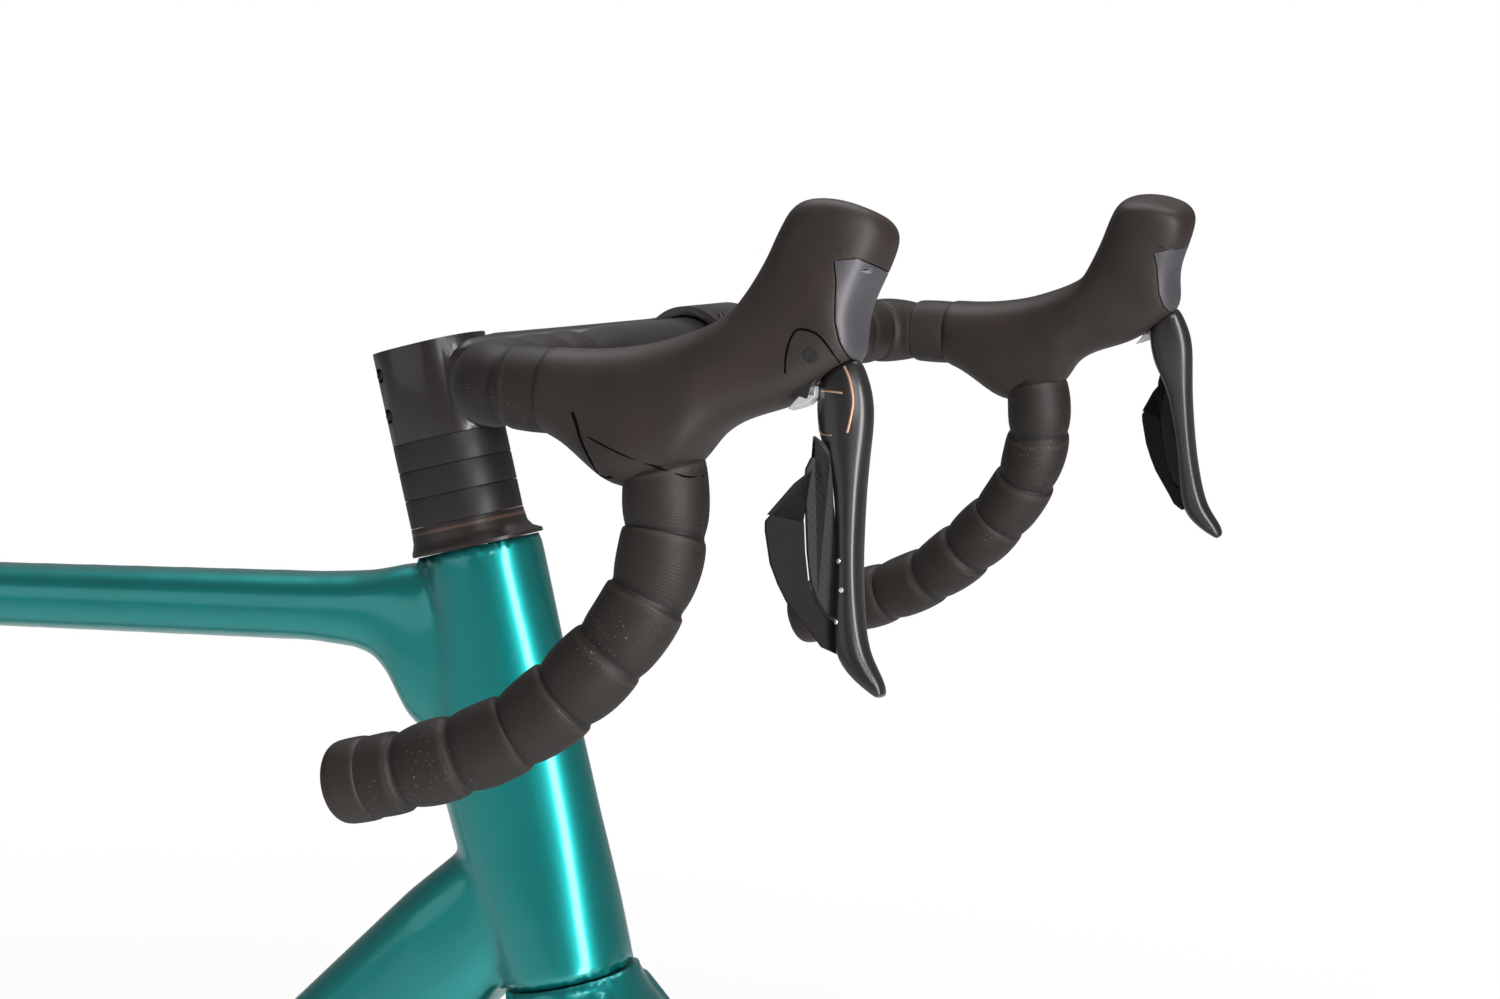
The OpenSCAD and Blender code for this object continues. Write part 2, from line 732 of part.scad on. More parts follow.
// Centre line of the right half, from the stem to the end of the drop
bar_hook = bar.x + bar_reach;
bar_points = [
    bar,
    bar + [0, -50, 0],
    bar + [0, -100, 0],
    [bar.x, -(bar_side - 52), bar.z],
    [bar.x + 1.5, -(bar_side - 24), bar.z],
    [bar.x + 10.5, -(bar_side - 7), bar.z + 0.5],
    [bar.x + 31, -(bar_side - 2), bar.z + 1],
    [bar_hook - 22, -(bar_side - 2), bar.z + 0.5],
    [bar_hook - 7, -(bar_side - 1), bar.z - 8],
    [bar_hook - 0.5, -bar_side, bar.z - 24],
    [bar_hook, -(bar_side + 1), bar.z - bar_drop * 0.34],
    [bar_hook - 8, -(bar_side + 2), bar.z - bar_drop * 0.5],
    [bar_hook - 26, -(bar_side + 3.5), bar.z - bar_drop * 0.66],
    [bar_hook - 51, -(bar_side + 5), bar.z - bar_drop * 0.81],
    [bar_hook - 86, -(bar_side + 6), bar.z - bar_drop * 0.925],
    [bar_hook - 119, -(bar_side + 7), bar.z - bar_drop]];
bar_radii = [bar_d / 2, bar_d / 2, grip_d / 2 + 0.8, grip_d / 2];
bar_path = spline(bar_points, 2);
tape_from = 5;

function bar_radius(i) = bar_radii[min(floor(i / 2), 3)];

module bar_half(grow, from, n) {
    chain_of_hulls(rings([for (i = [from : len(bar_path) - 1])
        concat(bar_path[i], [bar_radius(i) + grow, bar_radius(i) + grow])],
        n, 2, [0, 0, 1]));
}

module handlebar() color(carbon) both_sides() {
    bar_half(0, 2, 10);
    across(bar + [0, -50, 0])
        cylinder(r = bar_d / 2, h = 50);
}

module bar_tape() color(rubber) both_sides() difference() {
    loft(rings([for (i = [tape_from : len(bar_path) - 1])
        concat(bar_path[i], [tape_d / 2, tape_d / 2])], 12, 2, [0, 0, 1]));
    bar_half(0.3, tape_from - 1, 10);
}

module bar_end_plugs() color(rubber) both_sides() {
    last = bar_path[len(bar_path) - 1];
    out = path_dir(bar_path, len(bar_path) - 1);
    translate(last + out * 0.3)
        rotate([0, 90 + asin(-out.z), atan2(out.y, out.x)])
            cylinder(r = tape_d / 2 - 0.5, h = 3);
}

// ---------------------------------------------------------------- brake levers

// Places children in the right lever's plane: x forward, z up the plane, y across it
module in_lever_plane() {
    translate(lever_pivot)
        rotate([lever_lean, 0, 0])
            children();
}

// Station of the hood: upper and lower points in the lever's plane and half width
function hood_station(upper, lower, half) =
    let (c = (upper + lower) / 2) [ring([c.x, 0, c.y], side,
        unit([upper.x - lower.x, 0, upper.y - lower.y]), half, norm(upper - lower) / 2,
        14, 2.5)];

hood_rings = [
    each hood_station([-91, -3.5], [-91, -33], 15.5),
    each hood_station([-72, -3.5], [-77, -36], 16.5),
    each hood_station([-54, 3], [-57, -41], 17),
    each hood_station([-39, 10], [-30, -37], 17),
    each hood_station([-30, 14], [-20, -19], 16.5),
    each hood_station([-24, 20], [-4, -10], 15.5),
    each hood_station([-17.5, 31.5], [6, 0], 15),
    each hood_station([-14, 40.5], [6, 19], 15.5),
    each hood_station([-10, 48], [11, 32], 16.5),
    each hood_station([-4, 51.5], [16.5, 31], 15.5),
    each hood_station([7, 50], [20.5, 33], 12)];

module brake_hoods() color(rubber) both_sides() difference() {
    in_lever_plane()
        chain_of_hulls(hood_rings);
    in_lever_plane() {
        bracket_body(0.4);
        cross_rod([0, 0, 0], lever_pin_r + 0.4, 27);
    }
    bar_half(tape_d / 2 - grip_d / 2 + 0.4, 8, 12);
}

bracket_outline = [
    [-30, 2], [-26, 9], [-20, 17], [-14, 34], [-8, 44], [4, 43], [15, 35],
    [20, 27], [19, 12], [19, 4], [10, 0.5], [4, -8], [-7, -16], [-18, -10]];

module bracket_body(gap) {
    rotate([90, 0, 0])
        linear_extrude(height = 24 + gap * 2, center = true)
            offset(delta = gap)
                polygon(bracket_outline);
}

// Bracket of each lever: it holds the pivot pin and the front plate
module lever_brackets() color(grey) both_sides() in_lever_plane() {
    difference() {
        rotate([90, 0, 0])
            linear_extrude(height = 24, center = true)
                polygon(bracket_outline);
        rotate([90, 0, 0])
            linear_extrude(height = 14, center = true)
                polygon([[-9, -30], [-9, 6], [-4, 11], [8, 11], [30, 3], [30, -30]]);
        cross_rod([0, 0, 0], lever_pin_r + fit_gap, 60);
    }
    cross_rod([0, 0, 0], lever_pin_r, 26);
}

// Blade stations in the lever's plane: x, z, half width, half depth
blade_points = [
    [3, -2, 4.5, 5], [12.5, -9, 5, 7.8], [14.5, -20, 5.4, 8], [18.2, -34, 5.8, 5],
    [20.6, -52, 6, 3.8], [23.2, -68, 6, 3.4], [25.5, -82, 5.8, 3.5], [29.5, -92, 5.2, 3.8],
    [36, -99, 4.2, 3.2], [40.3, -103.5, 2.6, 2]];

module blade_form(gap) {
    loft(rings([for (p = blade_points) [p[0], 0, p[1], p[2] + gap, p[3] + gap]], 14, 2.4));
}

module brake_lever() difference() {
    union() {
        cross_rod([0, 0, 0], 5.5, 13);
        blade_form(0);
    }
    cross_rod([0, 0, 0], lever_pin_r + fit_gap, 30);
}

module right_brake_lever() color(carbon) in_lever_plane() brake_lever();
module left_brake_lever() color(carbon) mirror([0, 1, 0]) in_lever_plane() brake_lever();

// A shift paddle is a thin wing behind the blade that flares outwards. It turns on an
// upright line just behind the blade, and its outline is drawn from that line.
paddle_hinge = [17, -2];
paddle_flare = 33.4;
paddle_press = 6;
paddle_t = 2.2;

module at_paddle_hinge(turn) {
    translate([paddle_hinge.x, paddle_hinge.y, 0])
        rotate([0, 0, turn])
            translate([-paddle_hinge.x, -paddle_hinge.y, 0])
                children();
}

module paddle(outline) difference() {
    at_paddle_hinge(paddle_flare)
        translate([paddle_hinge.x, paddle_hinge.y + paddle_t / 2, 0])
            rotate([90, 0, 0])
                linear_extrude(height = paddle_t)
                    polygon(outline);
    for (turn = [0, paddle_press])
        at_paddle_hinge(turn)
            blade_form(run_gap + 0.1);
}

rear_outline = [[-13.3, -37], [-23.6, -54], [-21.7, -61], [-17.9, -69], [-13.3, -77],
    [-7.6, -84], [-1.1, -91], [3.6, -92.5], [2, -82], [-1.1, -74], [-4.8, -66],
    [-7.1, -56], [-9.7, -45]];
front_outline = [[-9.5, -25], [-3.9, -30], [-1.1, -42], [1.3, -54], [3.6, -66], [4.5, -80],
    [0.8, -76], [-3.5, -68], [-5.9, -58], [-8.6, -46], [-11.4, -36]];

module right_front_paddle() color(grey) in_lever_plane() paddle(front_outline);
module right_rear_paddle() color(grey) in_lever_plane() paddle(rear_outline);
module left_front_paddle() color(grey) mirror([0, 1, 0]) in_lever_plane() paddle(front_outline);
module left_rear_paddle() color(grey) mirror([0, 1, 0]) in_lever_plane() paddle(rear_outline);

// ---------------------------------------------------------------- wheels

// A ring about the Y axis of a wheel, from a profile of [radius, y] points
module wheel_ring(at) {
    translate(at)
        rotate([90, 0, 0])
            rotate_extrude()
                children();
}

module rim_profile() {
    w = rim_w / 2;
    polygon([
        [rim_r, w], [rim_r, w - 1.6], [rim_r - 7, w - 2.2], [rim_r - 10, 5],
        [rim_r - 10, -5], [rim_r - 7, 2.2 - w], [rim_r, 1.6 - w], [rim_r, -w],
        [rim_r - 10, -w], [rim_r - rim_depth * 0.6, -w * 0.86],
        [rim_nose_r + 3, -w * 0.5], [rim_nose_r, -w * 0.24], [rim_nose_r, w * 0.24],
        [rim_nose_r + 3, w * 0.5], [rim_r - rim_depth * 0.6, w * 0.86], [rim_r - 10, w]]);
}

module tyre_profile() {
    r = tyre_w / 2;
    difference() {
        translate([wheel_r - r, 0])
            circle(r = r);
        translate([wheel_r - r, 0])
            circle(r = r - tyre_wall);
        translate([0, -r - 1])
            square([rim_r + 0.3, 2 * r + 2]);
    }
}

// Places children at the valve, which is between the two lowest spokes: +Z points in
module at_valve(at, n) {
    translate(at)
        rotate([0, 180 / n, 0])
            translate([0, 0, -rim_r])
                children();
}

module valve(at, n) {
    at_valve(at, n)
        translate([0, 0, 8])
            cylinder(r = 3, h = rim_depth + 14);
}

// Rim with a hole for the valve
module rim(at, n) {
    difference() {
        wheel_ring(at)
            rim_profile();
        at_valve(at, n)
            cylinder(r = 3 + fit_gap, h = rim_depth + 20);
    }
}

// Crossed spokes, in turn from the left and the right flange, which lean either way
module spokes(at, n, left_y, right_y, flange_r) {
    nipple_r = rim_nose_r + 3;
    for (k = [0 : n - 1]) {
        lean = k % 4 < 2 ? 1 : -1;
        flange_y = k % 2 == 0 ? left_y : right_y;
        rim_a = k * 360 / n;
        hub_a = rim_a + lean * 1440 / n;
        rod(
            at + [flange_r * cos(hub_a), flange_y + lean * 1.9, flange_r * sin(hub_a)],
            at + [nipple_r * cos(rim_a), sign(flange_y) * 2.4, nipple_r * sin(rim_a)],
            spoke_r);
    }
}

// A round rod between two points
module rod(p, q, r) {
    d = q - p;
    translate(p)
        rotate([0, acos(d.z / norm(d)), atan2(d.y, d.x)])
            cylinder(r = r, h = norm(d), $fn = 16);
}

// Hub shell with two flanges, and a bearing in each end
module hub(at, left_y, right_y, flange_r, left_end, right_end) {
    wheel_ring(at)
        polygon([
            [axle_d / 2 + 5, left_end], [hub_end_r, left_end], [hub_end_r, left_y + 8],
            [16, left_y + 6],
            [flange_r + 4, left_y + 3.6], [flange_r + 4, left_y - 3.6], [13, left_y - 9],
            [13, right_y + 9], [flange_r + 4, right_y + 3.6], [flange_r + 4, right_y - 3.6],
            [16, right_y - 5], [hub_end_r, right_end], [axle_d / 2 + 5, right_end]]
            * [[1, 0], [0, -1]]);
}

front_flange_r = 19;
rear_flange_r = 21;
front_flange_y = [22, -32];
rear_flange_y = [32, -12];
front_hub_y = [front_disc_y + 2.5, -42];
rear_hub_y = [rear_disc_y + 2.5, -18];
hub_end_r = 14;

// Hub shell with a bearing in each end
module wheel_hub(at, flange_y, flange_r, end_y) {
    hub(at, flange_y[0], flange_y[1], flange_r, end_y[0], end_y[1]);
    for (y = [end_y[0], end_y[1] + 7])
        across(at + [0, y - 7.1, 0])
            sleeve(axle_d / 2 + 4.9, axle_d / 2 + fit_gap, 7);
}

module front_hub() color(carbon)
    wheel_hub(front_axle, front_flange_y, front_flange_r, front_hub_y);
module rear_hub() color(carbon)
    wheel_hub(rear_axle, rear_flange_y, rear_flange_r, rear_hub_y);

module disc(at, y, d, bore) {
    r = d / 2;
    across(at + [0, y, 0])
        linear_extrude(height = 1.8, center = true)
            difference() {
                circle(r = r, $fn = 96);
                difference() {
                    circle(r = r - 15);
                    for (k = [0 : 4])
                        rotate(72 * k)
                            polygon([[14, -9], [r - 10, 6], [r - 10, 16], [14, 4]]);
                    circle(r = bore + 6);
                }
                circle(r = bore);
                for (k = [0 : 23])
                    rotate(15 * k)
                        translate([r - 7.5 + 2.5 * ((k % 3) - 1), 0])
                            circle(r = 2.2, $fn = 16);
            }
}

module front_disc() color(steel) disc(front_axle, front_disc_y, front_disc_d, hub_end_r + fit_gap);
module rear_disc() color(steel) disc(rear_axle, rear_disc_y, rear_disc_d, hub_end_r + fit_gap);

module front_rim() color(carbon) rim(front_axle, front_spokes_n);
module rear_rim() color(carbon) rim(rear_axle, rear_spokes_n);

// Tyre with the valve that goes with it, on the other side of the rim's bed
module front_tyre() color(rubber) {
    wheel_ring(front_axle)
        tyre_profile();
    valve(front_axle, front_spokes_n);
}

module rear_tyre() color(rubber) {
    wheel_ring(rear_axle)
        tyre_profile();
    valve(rear_axle, rear_spokes_n);
}

module front_spokes() color(steel)
    spokes(front_axle, front_spokes_n, front_flange_y[0], front_flange_y[1],
        front_flange_r);
module rear_spokes() color(steel)
    spokes(rear_axle, rear_spokes_n, rear_flange_y[0], rear_flange_y[1], rear_flange_r);

// Thru axle with end caps that reach from the dropouts to the hub's bearings
module thru_axle(at, spacing, left_end, right_end) {
    across(at)
        cylinder(r = axle_d / 2, h = spacing + 16, center = true);
    across(at + [0, left_end + 0.3, 0])
        sleeve(9, axle_d / 2 - 1, spacing / 2 - left_end - 0.4);
    across(at + [0, -spacing / 2 + 0.1, 0])
        sleeve(9, axle_d / 2 - 1, spacing / 2 + right_end - 0.4);
}

module front_axle() color(alloy)
    thru_axle(front_axle, front_spacing, front_hub_y[0], front_hub_y[1]);
module rear_axle() color(alloy)
    thru_axle(rear_axle, rear_spacing, rear_hub_y[0], sprocket_y[0] - 4);

// ---------------------------------------------------------------- brakes

// Caliper: it straddles the disc, and holds a pad on each side of it
module caliper(size, disc_y, disc_gap, disc_r, wheel_centre) {
    difference() {
        translate([size[0], disc_y - 13, size[1]])
            cube([size[2], 26, size[3]]);
        cross_rod([wheel_centre.x, disc_y, wheel_centre.z], disc_r + 3, disc_gap * 2);
    }
}

// Lean of the fork blades, and slope of the chain stays
blade_lean = atan2(front_axle.x - blade_top.x, blade_top.z - front_axle.z);
stay_lean = atan2(rear_axle.z - bb.z, bb.x - rear_axle.x);

// The front caliper lies along the rear face of the left fork blade
module front_caliper() color(carbon) translate(front_axle) rotate([0, -blade_lean, 0])
    caliper([-45.4, 38, 31, 50], front_disc_y, 2.4, front_disc_d / 2, [0, 0, 0]);

// The rear caliper lies on the left chain stay
module rear_caliper() color(carbon) translate(rear_axle) rotate([0, stay_lean, 0])
    caliper([34, 9.4, 50, 32], rear_disc_y, 2.4, rear_disc_d / 2, [0, 0, 0]);

// ---------------------------------------------------------------- chain drive

function pitch_r(teeth) = pitch / (2 * sin(180 / teeth));

// The four wheels of the chain's loop, in its order: centre, teeth and +1 for clockwise
function loop_wheels(cage_a) = [
    [[rear_axle.x, rear_axle.z], sprockets[chain_sprocket], 1],
    [[bb.x, bb.z], big_teeth, 1],
    [[guide.x, guide.z] + cage_l * [cos(cage_a), sin(cage_a)], pulley_teeth, 1],
    [[guide.x, guide.z], pulley_teeth, -1]];

// Heading of the chain's straight run from wheel a to wheel b
function run_heading(a, b) =
    let (d = b[0] - a[0], m = norm(d))
    atan2(d.y, d.x) - asin((a[2] * pitch_r(a[1]) - b[2] * pitch_r(b[1])) / m);
function run_length(a, b) =
    let (d = b[0] - a[0], s = a[2] * pitch_r(a[1]) - b[2] * pitch_r(b[1]))
    sqrt(d * d - s * s);
function turn(x) = x - 360 * floor(x / 360);

// Links on a wheel between the headings of the runs before and after it
function wrap_links(wheel, before, after) =
    turn(wheel[2] * (before - after)) / 360 * wheel[1];

// Each run of the loop, then the wheel at its end: [heading, run in links, wrap in links]
function loop_spans(w) = [for (i = [0 : 3])
    let (a = w[i], b = w[(i + 1) % 4], c = w[(i + 2) % 4], h = run_heading(a, b))
    [h, run_length(a, b) / pitch, wrap_links(b, h, run_heading(b, c))]];
function total(v, i = 0) = i < len(v) ? v[i] + total(v, i + 1) : 0;
function loop_links(cage_a) = total([for (s = loop_spans(loop_wheels(cage_a))) s[1] + s[2]]);

// The cage swings until the loop holds a whole, even number of links
function solve_cage(low, high, want, tries) =
    let (mid = (low + high) / 2)
    tries == 0 ? mid
        : loop_links(mid) < want ? solve_cage(low, mid, want, tries - 1)
        : solve_cage(mid, high, want, tries - 1);
cage_rest = -68;
links = 2 * round(loop_links(cage_rest) / 2);
cage_a = solve_cage(cage_rest - 40, cage_rest + 40, links, 24);
wheels = loop_wheels(cage_a);
spans = loop_spans(wheels);
tension = [wheels[2][0].x, -chain_line, wheels[2][0].y];

function rim_point(wheel, heading) =
    wheel[0] + wheel[2] * pitch_r(wheel[1]) * [-sin(heading), cos(heading)];

// Point of the loop at s links from its start
function loop_point(s, i = 0) =
    let (span = spans[i], b = wheels[(i + 1) % 4])
    s <= span[1] ? rim_point(wheels[i], span[0])
            + s * pitch * [cos(span[0]), sin(span[0])]
        : s <= span[1] + span[2] || i == 3
            ? rim_point(b, span[0] - b[2] * (s - span[1]) / b[1] * 360)
        : loop_point(s - span[1] - span[2], i + 1);
function links_before(i) = i == 0 ? 0 : links_before(i - 1) + spans[i - 1][1] + spans[i - 1][2];

// Angle of a tooth gap on the wheel at the end of run i, so that a roller lies in it
function gap_angle(i) =
    let (b = wheels[(i + 1) % 4], s = links_before(i) + spans[i][1], late = ceil(s) - s)
    spans[i][0] + b[2] * 90 - b[2] * late / b[1] * 360;

roller_r = 3.85;
pin_r = 1.7;
plate = 0.78;
inner_w = 2.2;

// Toothed outline: a round seat for each roller, and a tooth that narrows between them
function tooth_outline(teeth) =
    let (r = pitch_r(teeth), seat = roller_r + 0.2, step = 360 / teeth)
    [for (k = [0 : teeth - 1]) each concat(
        [for (q = [60, 30, 0, -30, -60]) let (a = k * step)
            r * [cos(a), sin(a)] - seat * [cos(a + q), sin(a + q)]
        ],
        [for (q = [-35 / teeth, 35 / teeth]) let (a = (k + 0.5) * step + q)
            (r + 3.2) * [cos(a), sin(a)]
        ])];

module toothed_disc(at, y, teeth, thick, turned) {
    across([at.x, y, at.y])
        rotate([0, 0, -turned])
            linear_extrude(height = thick, center = true)
                polygon([for (p = tooth_outline(teeth)) [p.x, -p.y]]);
}

// Side plate of a link, a waisted bar between two rollers at a and b
module link_plate(a, b, y, r) {
    translate([a.x, y, a.y])
        rotate([0, -atan2(b.y - a.y, b.x - a.x), 0])
            rotate([90, 0, 0])
                linear_extrude(height = plate, center = true)
                    union() {
                        circle(r = r);
                        translate([norm(b - a), 0])
                            circle(r = r);
                        translate([0, -r * 0.72])
                            square([norm(b - a), r * 1.44]);
                    }
}

module inner_link(a, b) {
    difference() {
        union() {
            for (y = [-1, 1])
                link_plate(a, b, -chain_line + y * (inner_w + plate) / 2, 4.2);
            for (p = [a, b])
                cross_rod([p.x, -chain_line, p.y], roller_r, inner_w + 0.1);
        }
        for (p = [a, b])
            cross_rod([p.x, -chain_line, p.y], pin_r + fit_gap, 20);
    }
}

module outer_link(a, b) {
    for (y = [-1, 1])
        link_plate(a, b, -chain_line + y * ((inner_w + plate) / 2 + plate + fit_gap), 4.2);
    for (p = [a, b])
        cross_rod([p.x, -chain_line, p.y], pin_r, inner_w + 4 * plate + 3 * fit_gap);
}

module chain() color(steel) for (k = [0 : links - 1]) {
    a = loop_point(k);
    b = loop_point((k + 1) % links);
    if (k % 2 == 0)
        inner_link(a, b);
    else
        outer_link(a, b);
}

module cassette() color(steel) difference() {
    union() {
        for (i = [0 : len(sprockets) - 1])
            toothed_disc([rear_axle.x, rear_axle.z], sprocket_y[i], sprockets[i], 1.6,
                i == chain_sprocket ? gap_angle(3) : i * 7);
        across([rear_axle.x, sprocket_y[0] - 4, rear_axle.z])
            cylinder(r = 16, h = rear_hub_y[1] - 0.5 - (sprocket_y[0] - 4));
    }
    cross_rod(rear_axle, axle_d / 2 + 4, 200);
}

spider_n = 4;
spider_r = 55;

module ring_plate(y, teeth, turned) {
    r = pitch_r(teeth);
    difference() {
        toothed_disc([bb.x, bb.z], y, teeth, 2, turned);
        cross_rod([bb.x, y, bb.z], teeth == big_teeth ? r - 14 : spider_r - 6, 10);
    }
}

// Both chainrings, with tabs that reach in to the arms of the spider
module chainrings() color(carbon) difference() {
    union() {
        ring_plate(-chain_line, big_teeth, gap_angle(0));
        ring_plate(small_ring_y, small_teeth, 0);
        for (k = [0 : spider_n - 1])
            rotate_about(bb, spider_angle(k))
                translate([bb.x + spider_r - 7, -chain_line - 1, bb.z - 9])
                    cube([pitch_r(big_teeth) - spider_r, 2, 18]);
    }
    for (k = [0 : spider_n - 1])
        rotate_about(bb, spider_angle(k))
            cross_rod([bb.x + spider_r, -chain_line, bb.z], 4.2, 60);
}

function spider_angle(k) = 35 + 360 / spider_n * k;

module rotate_about(at, angle) {
    translate(at)
        rotate([0, -angle, 0])
            translate(-at)
                children();
}

// A crank arm between its axle boss and its pedal eye, at y from the middle plane
module crank_arm(at, dir) {
    $fn = 32;
    hull() {
        cross_rod([bb.x, sign(at) * (arm_y + 5), bb.z], 17, 14);
        cross_rod([bb.x + dir * crank_l * 0.35, sign(at) * (arm_y + 7), bb.z], 13.5, 13);
    }
    hull() {
        cross_rod([bb.x + dir * crank_l * 0.35, sign(at) * (arm_y + 7), bb.z], 13.5, 13);
        cross_rod([bb.x + dir * crank_l, sign(at) * (arm_y + 13), bb.z], 12.5, 12);
    }
}

pedal_bore_r = 7;

module right_crank() color(carbon) difference() {
    union() {
        crank_arm(-1, 1);
        across([bb.x, -arm_y - 2, bb.z])
            cylinder(r = spindle_r, h = arm_y * 2 + 10);
        across([bb.x, -arm_y, bb.z])
            cylinder(r = 17, h = arm_y - bb_shell_w / 2 - 3);
        for (k = [0 : spider_n - 1])
            rotate_about(bb, spider_angle(k)) {
                translate([bb.x, -chain_line - 5.4, bb.z - 8])
                    cube([spider_r, 4, 16]);
                cross_rod([bb.x + spider_r, -chain_line - 3.4, bb.z], 9, 4);
                cross_rod([bb.x + spider_r, -chain_line + 1, bb.z], 4, 16);
            }
    }
    cross_rod(bb, spindle_r - 3, 400);
    cross_rod([right_pedal_at.x, -arm_y - 13, bb.z], pedal_bore_r + fit_gap, 40);
}

module left_crank() color(carbon) difference() {
    union() {
        crank_arm(1, -1);
        across([bb.x, bb_shell_w / 2 + 3, bb.z])
            cylinder(r = 17, h = arm_y - bb_shell_w / 2 - 3);
    }
    cross_rod([bb.x, arm_y, bb.z], spindle_r + fit_gap, 40);
    cross_rod([left_pedal_at.x, arm_y + 13, bb.z], pedal_bore_r + fit_gap, 40);
}

module pedal_axles() color(steel) {
    across([right_pedal_at.x, -pedal_y - 38, bb.z])
        cylinder(r = 4, h = 34);
    across([right_pedal_at.x, -pedal_y - 5, bb.z])
        cylinder(r = pedal_bore_r, h = 19);
    across([left_pedal_at.x, pedal_y - 14, bb.z])
        cylinder(r = pedal_bore_r, h = 19);
    across([left_pedal_at.x, pedal_y + 4, bb.z])
        cylinder(r = 4, h = 34);
}

// Clipless pedal body seen from the side: nose, flat tread, sprung jaw and axle barrel
pedal_side = [[-34, -6], [-37, 2], [-34, 13], [-27, 13.5], [-23, 9], [33, 9], [37, 12.5],
    [43, 12], [47, 6], [44, 0], [30, -4], [16, -5], [8, -9.5], [-8, -9.5], [-18, -7]];
// The same from above
pedal_plan = [[-37, -13], [-30, -17], [-10, -18], [16, -16], [28, -18.4], [38, -17],
    [47, -7], [47, 7], [38, 17], [28, 18.4], [16, 16], [-10, 18], [-30, 17], [-37, 13]];

module pedal_body(at, out) translate([at.x, out * (pedal_y + 25), bb.z]) difference() {
    intersection() {
        rotate([90, 0, 0])
            linear_extrude(height = 50, center = true)
                polygon(pedal_side);
        linear_extrude(height = 50, center = true)
            polygon(pedal_plan);
    }
    cross_rod([0, -out * 5, 0], 4 + fit_gap * 2, 80);
    for (end = [-1, 1])
        translate([2, end * 14.5, -12])
            linear_extrude(height = 14)
                offset(r = 2)
                    square([18, 3], center = true);
}

module right_pedal() color(carbon) pedal_body(right_pedal_at, -1);
module left_pedal() color(carbon) pedal_body(left_pedal_at, 1);

// ---------------------------------------------------------------- derailleurs

// Rear derailleur: two links swing about upright pins, so the knuckle that carries the
// cage moves sideways and stays square to the bicycle
link_l = 46;
link_from = b_pivot + [-16, -18, -22];
link_to = link_from + [link_l, 0, 0];
link_gap = 12;
link_h = 16;
cage_w = 8;
cage_plate = 1.6;
bolt_r = 3;

module upright_rod(at, r, h) {
    translate(at - [0, 0, h / 2])
        cylinder(r = r, h = h, $fn = 24);
}

// Knuckle on the hanger's bolt, with a fork for the two link pins
module rear_derailleur() color(carbon) {
    cross_rod(b_pivot + [0, 2, 0], 5, 11);
    difference() {
        union() {
            across([b_pivot.x, b_pivot.y - 16.5, b_pivot.z])
                cylinder(r = 10.5, h = 16);
            hull() {
                across([b_pivot.x - 4, b_pivot.y - 18, b_pivot.z - 4])
                    cylinder(r = 7, h = 14);
                upright_rod(link_from + [-2, 0, 0], 8, link_h + 7);
                upright_rod(link_from + [-2, link_gap, 0], 6, link_h + 7);
            }
        }
        link_slot(link_from, 1);
        for (dy = [0, link_gap])
            upright_rod(link_from + [0, dy, 0], 2 + fit_gap, 60);
    }
    for (dy = [0, link_gap])
        upright_rod(link_from + [0, dy, 0], 2, link_h + 7);
}

// Room for the links at one end of the parallelogram
module link_slot(at, dir) {
    translate([at.x + (dir > 0 ? -6 : -34), at.y - 11, at.z - link_h / 2 - run_gap])
        cube([40, 34, link_h + run_gap * 2]);
}

module swing_link(from) {
    difference() {
        hull() {
            upright_rod(from, 4.2, link_h);
            upright_rod(from + [link_l, 0, 0], 4.2, link_h);
        }
        for (dx = [0, link_l])
            upright_rod(from + [dx, 0, 0], 2 + fit_gap, link_h + 2);
    }
}

module rear_derailleur_outer_link() color(carbon) swing_link(link_from);
module rear_derailleur_inner_link() color(carbon) swing_link(link_from + [0, link_gap, 0]);

// Knuckle at the far end of the links, with the pin that the cage turns on
module rear_derailleur_knuckle() color(carbon) {
    difference() {
        union() {
            hull() {
                upright_rod(link_to + [2, 0, 0], 7, link_h + 7);
                upright_rod(link_to + [2, link_gap, 0], 7, link_h + 7);
            }
            hull() {
                upright_rod(link_to + [4, link_gap - 4, -link_h / 2 - 3], 6, 2);
                across([guide.x, -chain_line - 28, guide.z])
                    cylinder(r = 10, h = 20);
            }
        }
        link_slot(link_to, -1);
        for (dy = [0, link_gap])
            upright_rod(link_to + [0, dy, 0], 2 + fit_gap, 60);
        cross_rod([guide.x, -chain_line - 8, guide.z], bolt_r + fit_gap, 30);
    }
    for (dy = [0, link_gap])
        upright_rod(link_to + [0, dy, 0], 2, link_h + 7);
    across([guide.x, -chain_line - 22, guide.z])
        cylinder(r = bolt_r, h = 14);
}

// Two plates that hold the pulleys' bolts
module rear_derailleur_cage() color(carbon) {
    difference() {
        for (dy = [-1, 1])
            hull() {
                cross_rod(guide + [0, dy * (cage_w + cage_plate) / 2, 0], 9, cage_plate);
                cross_rod(tension + [0, dy * (cage_w + cage_plate) / 2, 0], 8, cage_plate);
            }
        cross_rod(guide, bolt_r + fit_gap, cage_w * 3);
        cross_rod(tension, bolt_r + fit_gap, cage_w * 3);
    }
    for (at = [guide, tension])
        cross_rod(at, bolt_r, cage_w + cage_plate * 2);
}

module pulley(at, turned) difference() {
    toothed_disc([at.x, at.z], at.y, pulley_teeth, 1.8, turned);
    cross_rod(at, bolt_r + fit_gap, 10);
    for (k = [0 : 4])
        translate([at.x, at.y, at.z])
            rotate([0, 72 * k, 0])
                cross_rod([11, 0, 0], 3, 10);
}

module guide_pulley() color(grey) pulley(guide, gap_angle(2));
module tension_pulley() color(grey) pulley(tension, gap_angle(1));

